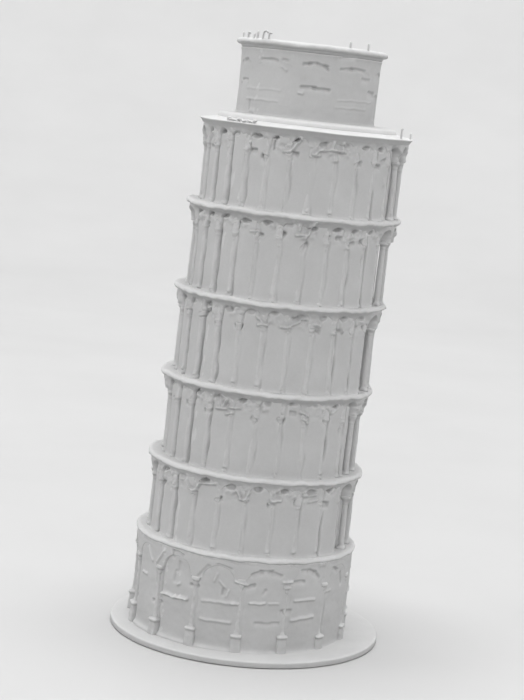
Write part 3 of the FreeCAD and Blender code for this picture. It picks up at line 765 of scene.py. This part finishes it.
def gallery_arches(storey, size):
    """Each bay's arch, no two quite alike."""
    chance = random.Random(storey.name + " arches")
    pitch = math.tau * (size.radius + WALK_DEPTH - COLUMN_RADIUS) / storey.columns
    arches = []
    for _ in range(storey.columns):
        half_width = (pitch - ARCH_PIER) / 2 * chance.uniform(0.84, 1.0)
        crown = size.top - ARCADE_CROWN * chance.uniform(0.6, 1.9)
        arches.append(Arch(chance.uniform(-0.35, 0.35), half_width, crown - half_width))
    return arches


def hollow(drop, height):
    """The outward sweep under a ledge: 1 at the top of the hollow, 0 at drop = height."""
    share = min(max((height - drop) / (height + HOLLOW_REACH), 0), 1)
    return share ** 1.8


def arcade_profile(wall, face, bottom, top, rows):
    """A ring whose back is sunk in the wall and whose face runs up into the ledge."""
    high = top + HOLLOW_REACH
    outside = between((face, bottom), (face, high), rows) + [(face, high)]
    return [(wall - ARCADE_BACK, bottom)] + outside + [(wall - ARCADE_BACK, high)]


def make_gallery_arcade(storey, size, ledge, arches):
    """Spandrels that sweep out to the ledge above and draw in to the capitals below."""
    chance = random.Random(storey.name + " piers")
    wall = size.radius
    face = ledge - ARCADE_SETBACK
    top = size.top
    bottom = top - ARCADE_HEIGHT
    pitch = math.tau * (wall + WALK_DEPTH - COLUMN_RADIUS) / storey.columns
    piers = [chance.uniform(0.35, 1.0) for _ in range(storey.columns)]
    web = wall + WALK_DEPTH - WEB_LEVEL
    sectors = strokes_by_sector(GALLERY_STROKES[storey.name])

    def shape(angle, r, z):
        if r < wall - SKIN_DEPTH:
            return r, z
        point = around(0, face, angle, z)
        drop = top - z
        share, index = bay_share(storey, angle)
        nearest = index if share < 0.5 else (index + 1) % storey.columns
        ragged = 0.25 * lump(point, 2.2, 6)
        distance = arch_distance(storey, arches, pitch, angle, z) + ragged
        soft = mix(0.25, 0.75, smooth(1.0, ARCADE_HEIGHT, drop))
        solid = smooth(-soft, soft, distance + 0.1)
        taper = mix(0.95, 0.35, piers[nearest] ** 3) * smooth(0.8, ARCADE_HEIGHT, drop)
        flush = web - 0.1 - 0.3 * smooth(3.0, ARCADE_HEIGHT, drop)
        front = mix(face - taper, flush, side_of_web(angle))
        front = mix(front, ledge - LIP_OVERHANG, hollow(drop, 1.9))
        front += 0.16 * lump(point, 3.0, 8) + 0.08 * lump(point, 1.1, 9)
        front += stroke_relief(sectors, face, angle, z - size.bottom) + crumbs(point, drop)
        return mix(wall - ARCADE_INSET, min(front, ledge - LEDGE_GAP), solid), z

    profile = arcade_profile(wall, face, bottom, top, 30)
    cast(storey.name + "_arcade", "trim_stone", size.centre, profile, ARCADE_SLICES, shape)


# ---- Cornices ----


def nose(radius, bottom, top, depth, count=5):
    """A ledge's edge: undercut beneath, round and sloping above."""
    belly = mix(bottom, top, 0.35)
    undercut = arc(radius, belly, 0.6 * depth, belly - bottom, -90, 0, count)
    return undercut[:-1] + arc(radius, belly, depth, top - belly, 0, 90, count + 2)


def make_cornice(name, centre, radius, bottom, top):
    """A ledge whose edge has slumped a little, with a wavering outline."""
    foot = top - LIP_HEIGHT
    profile = [(CORNICE_HOLE, bottom - SINK), (radius - 2.5, bottom - SINK), (radius - 1.1, foot - 0.15)]
    profile += nose(radius, foot, top, LIP_DEPTH)
    profile += between((radius - LIP_DEPTH - 0.3, top), (CORNICE_HOLE, top), 16) + [(CORNICE_HOLE, top)]

    def shape(angle, r, z):
        point = around(0, r, angle, z)
        outer = smooth(radius - 6, radius - 1, r)
        edge = smooth(radius - 2.2, radius - 0.8, r)
        r += outer * (0.20 * lump(point, 8.0, 14) - 0.14) + 0.13 * edge * lump(point, 2.2, 15)
        sag = 0.28 * lump(point, 3.2, 17) + 0.14 * lump(point, 1.3, 45)
        z += outer * 0.26 * lump(point, 9.0, 16) + edge * sag
        return r, z

    cast(name, "trim_stone", centre, profile, LEDGE_SLICES, shape)


def make_terrace_cornice(centre, radius, bottom, top):
    """The top ledge: a thin lip, and a terrace that slopes up to the plinth."""
    inner = ledge_radius("terrace_plinth")
    crest = top + TERRACE_RISE
    profile = [(CORNICE_HOLE, bottom - SINK), (radius - 2.5, bottom - SINK), (radius - 0.9, bottom + 0.4)]
    profile += between((radius - 0.5, top - 0.8), (radius - 0.1, top - 0.45), 2)
    profile += nose(radius, top - 0.45, top, 0.2, 4)
    profile += between((radius - 0.3, top + 0.05), (inner, crest), 14)
    profile += [(inner, crest), (CORNICE_HOLE, crest)]

    def shape(angle, r, z):
        point = around(0, r, angle, z)
        outer = smooth(radius - 6, radius - 1, r)
        r += outer * (0.16 * lump(point, 9.0, 14) + 0.05 * lump(point, 2.2, 15) - 0.1)
        return r, z + 0.12 * outer * lump(point, 11.0, 16)

    cast("gallery_5_cornice", "trim_stone", centre, profile, LEDGE_SLICES, shape)


# ---- Ground storey ----

CARVED_BAY = 0.35  # share of the bays out of sight that carry a lozenge
LOZENGE_WIDTH = 2.4  # half sizes
LOZENGE_HEIGHT = 3.0
LOZENGE_LEVEL = 18.2
DRAWN_BAYS = (-60, -38, -12, 12, 36, 60)  # directions of the bays that the strokes draw
DEEP_BAY = -38
GROUND_FOOT = -0.9  # the leaning wall's lowest row, below the base's top
GROUND_ROW = 0.33


def bay_relief(across, height, courses, carved):
    """Courses and sometimes a lozenge, for the bays that the strokes don't draw."""
    reach = 1 - smooth(3.6, 4.4, abs(across))
    relief = sum(0.42 * reach * bell(height - course - 0.06 * across, 0.32) for course in courses)
    if carved:
        lozenge = abs(across) / LOZENGE_WIDTH + abs(height - LOZENGE_LEVEL) / LOZENGE_HEIGHT
        relief += 0.35 * bell(lozenge - 1, 0.16) - 0.4 * (1 - smooth(0.7, 0.95, lozenge))
    return relief


def make_ground_wall(size, top):
    """The drum behind the half columns, with string courses and worn carving in its bays."""
    chance = random.Random("ground bays")
    wall = size.radius
    face = wall + GROUND_WALK_DEPTH
    pitch = math.tau * face / GROUND.columns
    bays = [(chance.uniform(0.36, 0.52), chance.uniform(0.35, 0.6)) for _ in range(GROUND.columns)]
    sectors = strokes_by_sector(GROUND_STROKES)
    bays[bay_share(GROUND, math.radians(DEEP_BAY))[1]] = (0.85, 0.3)
    drawn = [bay_share(GROUND, math.radians(turn))[1] for turn in DRAWN_BAYS]
    courses = [(chance.uniform(7.8, 9.6), chance.uniform(13.2, 14.9)) for _ in range(GROUND.columns)]
    carved = [chance.random() < CARVED_BAY for _ in range(GROUND.columns)]

    def shape(angle, r, z):
        if r < wall - SKIN_DEPTH:
            return r, z
        point = around(0, r, angle, z)
        share, index = bay_share(GROUND, angle)
        fill = side_of_web(angle, GROUND_WEB_END)
        r = mix(r, web_radius(GROUND, face, pitch, angle, point, bays), fill)
        if index in drawn:
            relief = stroke_relief(sectors, face, angle, z, SHALLOW_STRENGTH)
        else:
            relief = bay_relief((share - 0.5) * pitch, z, courses[index], carved[index])
            relief *= smooth(0, 0.12, share) * smooth(0, 0.12, 1 - share)
        flare = 0.8 * math.exp(-max(z, 0) / 0.5)
        return r + relief + flare + 0.16 * lump(point, 5.0, 18) + 0.06 * lump(point, 1.6, 19), z

    count = math.ceil((top + 1.2) / GROUND_ROW)
    rows = [GROUND_FOOT + GROUND_ROW * step for step in range(count + 1)]
    cast("ground_wall", "wall_stone", size.centre, wall_profile(wall, rows), GROUND_WALL_SLICES, shape)


def half_column_sections(wall, face, chance):
    """The cross-sections of one half column, from its pedestal to its capital."""
    back = wall - 0.4
    pedestal = PEDESTAL_HEIGHT * chance.uniform(0.85, 1.25)
    spring = GROUND_SPRING + chance.uniform(-0.4, 1.0)
    shaft = chance.uniform(1.3, 1.8)
    head = chance.uniform(-0.1, 0.4)

    def section(height, width, reach, power):
        return Section(height, (back + reach) / 2, width, reach - back, power)

    return [
        section(GROUND_FOOT, 3.3, face + 0.65, 5),
        section(0.0, 3.2, face + 0.6, 5),
        section(pedestal - 0.95, 2.9, face + 0.3, 5),
        section(pedestal - 0.7, 3.3, face + 0.7, 5),
        section(pedestal - 0.1, 3.2, face + 0.6, 4),
        section(pedestal + 0.1, shaft + 0.4, face - 0.15, 3),
        section(pedestal + 1.0, shaft + 0.2, face - 0.38, 2.5),
        section(mix(pedestal, spring, 0.5), shaft, face - 0.44, 2.5),
        section(spring - 2.0, shaft * 0.9, face - 0.42, 2.5),
        section(spring - 1.8, shaft + 0.2, face - 0.3, 3),
        section(spring - 0.75, shaft + 0.4, face - 0.25, 4),
        section(spring - 0.6, 2.6, face + head - 0.15, 5),
        section(spring, 2.6, face + head - 0.15, 5),
        section(spring + 0.5, 2.6, face - 0.2, 4),
    ]


def make_ground_half_columns(size):
    chance = random.Random("ground half columns")
    face = size.radius + GROUND_WALK_DEPTH
    points = []
    faces = []

    def wobble(point):
        return point + 0.16 * grit(point, 1.3, 21)

    for index in range(GROUND.columns):
        angle = math.radians(GROUND.turn + 360 / GROUND.columns * index)
        sections = refine(half_column_sections(size.radius, face, chance), HALF_SECTION_GAP)
        loft(points, faces, size.centre, angle, sections, HALF_COLUMN_CORNERS, wobble)
    mesh = finish_mesh("ground_half_columns", points, faces, TOWER)
    place("ground_half_columns_cast", "ground_half_columns", "trim_stone", mesh)


def ground_arches():
    chance = random.Random("ground arcade")
    arches = []
    for _ in range(GROUND.columns):
        half_width = GROUND_ARCH_RADIUS * chance.uniform(0.88, 1.0)
        arches.append(Arch(chance.uniform(-0.3, 0.3), half_width, GROUND_SPRING + chance.uniform(-0.4, 0.2)))
    return arches


def make_ground_arcade(size, top, ledge, arches):
    """Blind arches whose hoods stand a little proud of the wall they close."""
    wall = size.radius
    face = ledge - 0.75
    pitch = math.tau * (wall + 1) / GROUND.columns
    sectors = strokes_by_sector(GROUND_STROKES)

    def shape(angle, r, z):
        if r < wall - SKIN_DEPTH:
            return r, z
        point = around(0, face, angle, z)
        ragged = 0.28 * lump(point, 2.5, 24)
        distance = arch_distance(GROUND, arches, pitch, angle, z) + ragged
        solid = smooth(-0.3, 0.35, distance)
        closed = side_of_web(angle, GROUND_WEB_END)
        hood = 0.3 * bell(distance - 0.6, 0.4) * (1 - closed)
        flush = wall + GROUND_WALK_DEPTH - 0.42
        front = mix(face, flush, closed) + hood
        front = mix(front, ledge - LIP_OVERHANG + 0.1, hollow(top - z, 1.4))
        front += stroke_relief(sectors, flush, angle, z, SHALLOW_STRENGTH)
        front += 0.12 * lump(point, 4.0, 25)
        return mix(wall - ARCADE_INSET, min(front, ledge - LEDGE_GAP), solid), z

    profile = arcade_profile(wall, face, GROUND_SPRING, top, 34)
    cast("ground_arcade", "trim_stone", size.centre, profile, GROUND_ARCADE_SLICES, shape)


# ---- Terrace and belfry ----


def make_plinth(terrace, belfry):
    """A rounded step whose top ramps up to the belfry's foot."""
    centre = drum("gallery_5_wall").centre
    radius = ledge_radius("terrace_plinth")
    foot = terrace + TERRACE_RISE
    edge = foot + PLINTH_EDGE
    seat = belfry.radius + 0.5
    profile = [(0, foot - SINK)] + between((2, foot - SINK), (radius - 0.3, foot - SINK), 8)
    profile += [(radius - 0.05, foot - SINK), (radius - 0.05, foot + 0.1), (radius - 0.15, foot + 0.35)]
    profile += [(radius - 0.3, foot + 0.6), (radius - 0.55, edge - 0.08)]
    profile += between((radius - 0.9, edge + 0.05), (seat, belfry.bottom), 12)
    profile += between((seat, belfry.bottom), (2, belfry.bottom), 6) + [(0, belfry.bottom)]

    def shape(angle, r, z):
        point = around(0, r, angle, z)
        outer = smooth(radius - 4, radius - 0.5, r)
        return r + 0.16 * outer * lump(point, 6.0, 26) - 0.06 * outer, z + 0.1 * outer * lump(point, 5.0, 27)

    cast("terrace_plinth", "trim_stone", centre, profile, PLAIN_SLICES, shape)


BELFRY_PAIRS = 5  # narrow bays, each with a door, and wide ones by turns
BELFRY_TURN = 5.0
WIDE_BAY = 5.6  # half widths
NARROW_BAY = 3.4
DOOR = 2.9
BAY_CROWN = 15.4  # heights above the belfry's foot
DOOR_CROWN = 8.8
COURSES = (3.3, 5.6)
BELFRY_ROW = 0.28
SIDE_START = 70  # past this many degrees to either side the belfry's relief is at full strength
SIDE_END = 80
FRONT_SHARE = 0.25  # share of it that is left at the front, where the strokes take over


def niche(across, height, half_width, crown, rise):
    """How deep an arched niche is, from 0 to 1: crisp and deep under its arch, faint lower down."""
    arch = crown - rise * (across / half_width) ** 2
    under = 1 - smooth(-0.14, 0.14, height - arch)
    inside = 1 - smooth(-0.55, 0.45, abs(across) - half_width)
    fade = 0.3 + 0.7 * math.exp(-max(arch - height, 0) / 2.2)
    return under * inside * fade * smooth(1.0, 2.4, height)


def make_belfry_wall(belfry):
    """A drum with faint arched bays and a curled foot."""
    wall = belfry.radius
    step = math.pi / BELFRY_PAIRS
    sectors = strokes_by_sector(BELFRY_STROKES)

    def shape(angle, r, z):
        if r < wall - SKIN_DEPTH:
            return r, z
        height = z - belfry.bottom
        turns = (angle - math.radians(BELFRY_TURN)) / step
        index = round(turns)
        across = (turns - index) * step * wall
        if index % 2:
            relief = -0.4 * niche(across, height, WIDE_BAY, BAY_CROWN, 1.3)
            reach = 1 - smooth(WIDE_BAY - 0.8, WIDE_BAY + 0.2, abs(across))
            for course in COURSES:
                relief += 0.10 * reach * bell(height - course, 0.3)
        else:
            relief = -0.5 * niche(across, height, NARROW_BAY, BAY_CROWN - 0.3, 0.8)
            relief -= 0.6 * niche(across, height, DOOR, DOOR_CROWN, 0.35)
        relief *= mix(1, FRONT_SHARE, 1 - smooth(SIDE_START, SIDE_END, abs(bearing(angle))))
        relief += stroke_relief(sectors, wall, angle, height, SHALLOW_STRENGTH)
        point = around(0, r, angle, z)
        flare = 0.35 * math.exp(-max(height, 0) / 0.4)
        hollow_top = 0.35 * math.exp(-(belfry.top - z) / 0.9)
        worn = 0.13 * lump(point, 6.0, 35) + 0.05 * lump(point, 1.8, 28)
        return r + relief + flare + hollow_top + worn, z

    count = math.ceil((belfry.top - belfry.bottom) / BELFRY_ROW)
    rows = [mix(belfry.bottom - SINK, belfry.top + SINK, row / count) for row in range(count + 1)]
    profile = wall_profile(wall, rows, BELFRY_THICKNESS)
    cast("belfry_wall", "wall_stone", belfry.centre, profile, BELFRY_SLICES, shape)


def make_belfry_rim(belfry, roof):
    """The rim: a crisp shadow line beneath, a slumped round edge and a seat for the roof."""
    radius = ledge_radius("belfry_cornice")
    seat = roof.radius + 0.1
    bottom = belfry.top
    top = roof.top + RIM_RISE
    foot = bottom + 1.15
    profile = [(seat - 2, bottom - SINK), (belfry.radius - 0.2, bottom - SINK)]
    profile += [(belfry.radius + 0.25, bottom + 0.35), (belfry.radius + 0.5, bottom + 0.8)]
    profile += [(belfry.radius + 0.7, foot - 0.05)]
    profile += nose(radius, foot, top, 1.1)
    profile += between((radius - 1.4, top), (seat, top), 6)
    profile += [(seat, top), (seat, top - 1.7), (seat - 2, top - 1.7)]

    def shape(angle, r, z):
        point = around(0, r, angle, z)
        outer = smooth(belfry.radius, radius - 0.5, r)
        r += outer * (0.16 * lump(point, 6.0, 29) + 0.1 * lump(point, 1.8, 30) - 0.1)
        return r, z + outer * (0.16 * lump(point, 7.0, 31) + 0.13 * lump(point, 2.6, 32))

    cast("belfry_cornice", "trim_stone", belfry.centre, profile, LEDGE_SLICES, shape)


def make_roof(roof):
    profile = [(0, roof.bottom)] + between((2, roof.bottom), (roof.radius, roof.bottom), 5)
    profile += [(roof.radius, roof.bottom), (roof.radius, roof.top - 0.1)]
    profile += between((roof.radius - 0.1, roof.top), (2, roof.top), 20) + [(0, roof.top)]

    def shape(angle, r, z):
        point = around(0, r, angle, z)
        return r, z + 0.1 * lump(point, 5.0, 33) * smooth(roof.bottom + 0.2, roof.top, z)

    cast("belfry_roof", "wall_stone", roof.centre, profile, ROOF_SLICES, shape)


# ---- Railing posts ----

# angle is from the front, height above the ledge, hook the curl's size.
Post = namedtuple("Post", "angle height hook", defaults=(0,))
BELFRY_POSTS = [
    Post(-72, 1.5),
    Post(-62, 1.0, 0.5),
    Post(-53, 1.3),
    Post(-49, 2.1),
    Post(-43, 1.5, 0.8),
    Post(-37, 1.4, 0.4),
    Post(29, 1.7),
    Post(47, 1.9),
]
TERRACE_POSTS = [
    Post(-47, 0.5, 0.3),
    Post(-40, 0.5, 0.3),
    Post(-34, 0.6),
    Post(-30, 0.5, 0.3),
    Post(62, 2.7, 0.3),
    Post(83, 1.9),
]
FALLEN_START = -48.0  # degrees
FALLEN_END = -29.0
FALLEN_BENDS = 16
FALLEN_GIRTH = 0.32


def wire_path(foot, sideways, post, chance):
    """Points up a post, over its curl and down its tip."""
    lean = sideways * chance.uniform(-0.2, 0.2)
    path = [foot - Vector((0, 0, 0.5))]
    for step in range(5):
        path.append(foot + Vector((0, 0, post.height * step / 4)) + lean * (step / 4) ** 2)
    if not post.hook:
        return path
    knee = path[-1]
    for step in range(1, 6):
        turn = math.radians(34 * step)
        over = sideways * post.hook * (1 - math.cos(turn))
        path.append(knee + over + Vector((0, 0, post.hook * 0.8 * math.sin(turn))))
    return path


def tube(points, faces, path, radius, corners=8):
    """Adds a closed round wire along a path to a mesh under construction."""
    first = len(points)
    for index, middle in enumerate(path):
        ahead = path[min(index + 1, len(path) - 1)] - path[max(index - 1, 0)]
        side = ahead.cross(Vector((0.3, 0.9, 0.1))).normalized()
        other = ahead.cross(side).normalized()
        girth = radius * (0.75 if index == len(path) - 1 else 1)
        for corner in range(corners):
            turn = math.tau * corner / corners
            points.append(middle + girth * (side * math.cos(turn) + other * math.sin(turn)))
    skin(faces, first, len(path), corners)


def fallen_path(centre, radius, level, chance):
    """A crumpled length of wire lying on the terrace's edge."""
    path = []
    for step in range(FALLEN_BENDS + 1):
        angle = math.radians(mix(FALLEN_START, FALLEN_END, step / FALLEN_BENDS))
        reach = radius + chance.uniform(-0.3, 0.5)
        path.append(around(centre, reach, angle, level + chance.uniform(0.15, 0.75)))
    return path


def make_posts(node, posts, centre, radius, level, fallen=False):
    chance = random.Random(node)
    points = []
    faces = []
    if fallen:
        tube(points, faces, fallen_path(centre, radius, level, chance), FALLEN_GIRTH)
    for post in posts:
        angle = math.radians(post.angle)
        sideways = Vector((math.cos(angle), math.sin(angle), 0))
        foot = around(centre, radius, angle, level)
        girth = chance.uniform(0.25, 0.32) * (1.7 if post.height < 1 else 1)
        tube(points, faces, wire_path(foot, sideways, post, chance), girth)
    mesh = finish_mesh(node, points, faces, TOWER)
    place(node + "_wires", node, "railing_wire", mesh)


# ---- The whole object ----


def make_ground(levels):
    outer = ledge_radius("ground_half_columns")
    centre = drum("ground_arcade").centre
    top = drum("ground_arcade").top
    size = Drum(centre, outer - PEDESTAL_REACH - GROUND_WALK_DEPTH, 0, top)
    ledge = ledge_radius("ground_cornice")
    arches = ground_arches()
    make_ground_wall(size, top)
    make_ground_half_columns(size)
    make_ground_arcade(size, top, ledge, arches)
    make_cornice("ground_cornice", centre, ledge, top, levels[0])


def make_gallery(index, levels):
    storey = GALLERIES[index]
    size = drum(storey.name + "_wall")
    ledge = ledge_radius(storey.name + "_cornice")
    arches = gallery_arches(storey, size)
    make_gallery_wall(storey, size, arches)
    make_gallery_columns(storey, size)
    make_gallery_arcade(storey, size, ledge, arches)
    if storey is GALLERIES[-1]:
        make_terrace_cornice(size.centre, ledge, size.top, levels[-1])
    else:
        make_cornice(storey.name + "_cornice", size.centre, ledge, size.top, levels[index + 1])


def make_tower():
    belfry = drum("belfry_wall")
    roof = drum("belfry_roof")
    top_storey = drum("gallery_5_wall")
    terrace = top_storey.top + CORNICE_THICKNESS
    levels = [drum(storey.name + "_wall").bottom for storey in GALLERIES] + [terrace]
    make_base()
    make_ground(levels)
    for index in range(len(GALLERIES)):
        make_gallery(index, levels)
    make_plinth(terrace, belfry)
    make_belfry_wall(belfry)
    make_belfry_rim(belfry, roof)
    make_roof(roof)
    rim = ledge_radius("belfry_cornice") - POST_INSET
    make_posts("belfry_railing_posts", BELFRY_POSTS, belfry.centre, rim, roof.top + RIM_RISE)
    ledge = ledge_radius("gallery_5_cornice") - POST_INSET
    make_posts("terrace_railing_posts", TERRACE_POSTS, top_storey.centre, ledge, terrace, fallen=True)


def paint_hidden_nodes():
    """The tie rod set stays as the CAD drew it, inside the stack."""
    for node in ("tie_rod", "rod_nut", "rod_washer"):
        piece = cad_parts[node]
        piece.data.materials.clear()
        piece.data.materials.append(MATERIALS["rod_steel"])


# ---- Stage, light and camera ----

# The camera's numbers, in metres and radians, were matched to the photo.
CAMERA_DISTANCE = 0.54184
CAMERA_PITCH = 0.14121
CAMERA_ROLL = 0.09135
CAMERA_AIM = Vector((-0.00191, 0, 0.0836))
LENS = 95.03

FLOOR_LEVEL = -0.0002
FLOOR_REACH = 0.8
BACKDROP_REACH = 4.0
BACKDROP_HEIGHT = 2.2
SKY_STRENGTH = 0.28
TOP_WATTS = 92.0
FRONT_WATTS = 40.0
LEFT_WATTS = 40.0
RIGHT_WATTS = 20.0


def make_camera():
    forward = Vector((0, math.cos(CAMERA_PITCH), -math.sin(CAMERA_PITCH)))
    right = Vector((1, 0, 0))
    up = Vector((0, math.sin(CAMERA_PITCH), math.cos(CAMERA_PITCH)))
    side = math.cos(CAMERA_ROLL) * right + math.sin(CAMERA_ROLL) * up
    head = -math.sin(CAMERA_ROLL) * right + math.cos(CAMERA_ROLL) * up
    turn = Matrix((side, head, -forward)).transposed().to_4x4()
    data = bpy.data.cameras.new("camera")
    data.lens = LENS
    data.clip_start = 0.01
    camera = bpy.data.objects.new("camera", data)
    camera.matrix_world = Matrix.Translation(CAMERA_AIM - forward * CAMERA_DISTANCE) @ turn
    bpy.context.scene.collection.objects.link(camera)
    bpy.context.scene.camera = camera


def make_backdrop():
    """A pale floor that curves up far behind the object, so no horizon shows."""
    rings = 48
    slices = 96
    points = [(0.0, 0.0, FLOOR_LEVEL)]
    faces = []
    for ring in range(1, rings + 1):
        reach = BACKDROP_REACH * ring / rings
        rise = BACKDROP_HEIGHT * smooth(FLOOR_REACH, BACKDROP_REACH, reach)
        for step in range(slices):
            angle = math.tau * step / slices
            points.append((reach * math.cos(angle), reach * math.sin(angle), FLOOR_LEVEL + rise))
    for step in range(slices):
        faces.append((0, 1 + step, 1 + (step + 1) % slices))
    for ring in range(rings - 1):
        for step in range(slices):
            after = (step + 1) % slices
            low = 1 + ring * slices
            faces.append((low + step, low + slices + step, low + slices + after, low + after))
    mesh = bpy.data.meshes.new("backdrop")
    mesh.from_pydata(points, [], faces)
    mesh.materials.append(floor_paint())
    for polygon in mesh.polygons:
        polygon.use_smooth = True
    backdrop = bpy.data.objects.new("backdrop", mesh)
    bpy.context.scene.collection.objects.link(backdrop)


def soft_light(name, place_at, aim, size, watts):
    data = bpy.data.lights.new(name, "AREA")
    data.shape = "DISK"
    data.size = size
    data.energy = watts
    light = bpy.data.objects.new(name, data)
    light.location = place_at
    light.rotation_euler = (Vector(aim) - Vector(place_at)).to_track_quat("-Z", "Y").to_euler()
    light.visible_camera = False
    bpy.context.scene.collection.objects.link(light)


def make_world(strength):
    world = bpy.data.worlds.new("soft_sky")
    world.use_nodes = True
    background = world.node_tree.nodes["Background"]
    background.inputs["Color"].default_value = (1, 1, 1, 1)
    background.inputs["Strength"].default_value = strength
    bpy.context.scene.world = world


def make_studio():
    middle = (0, 0, 0.08)
    make_backdrop()
    make_world(SKY_STRENGTH)
    soft_light("top_light", (0, 0.2, 3.2), middle, 2.2, TOP_WATTS)
    soft_light("front_light", (-0.2, -2.6, 0.8), middle, 1.6, FRONT_WATTS)
    soft_light("left_light", (-2.6, -0.3, 0.8), middle, 1.6, LEFT_WATTS)
    soft_light("right_light", (2.6, -0.3, 0.8), middle, 1.6, RIGHT_WATTS)
    bpy.context.scene.view_settings.view_transform = "Standard"


make_tower()
paint_hidden_nodes()
make_studio()
make_camera()
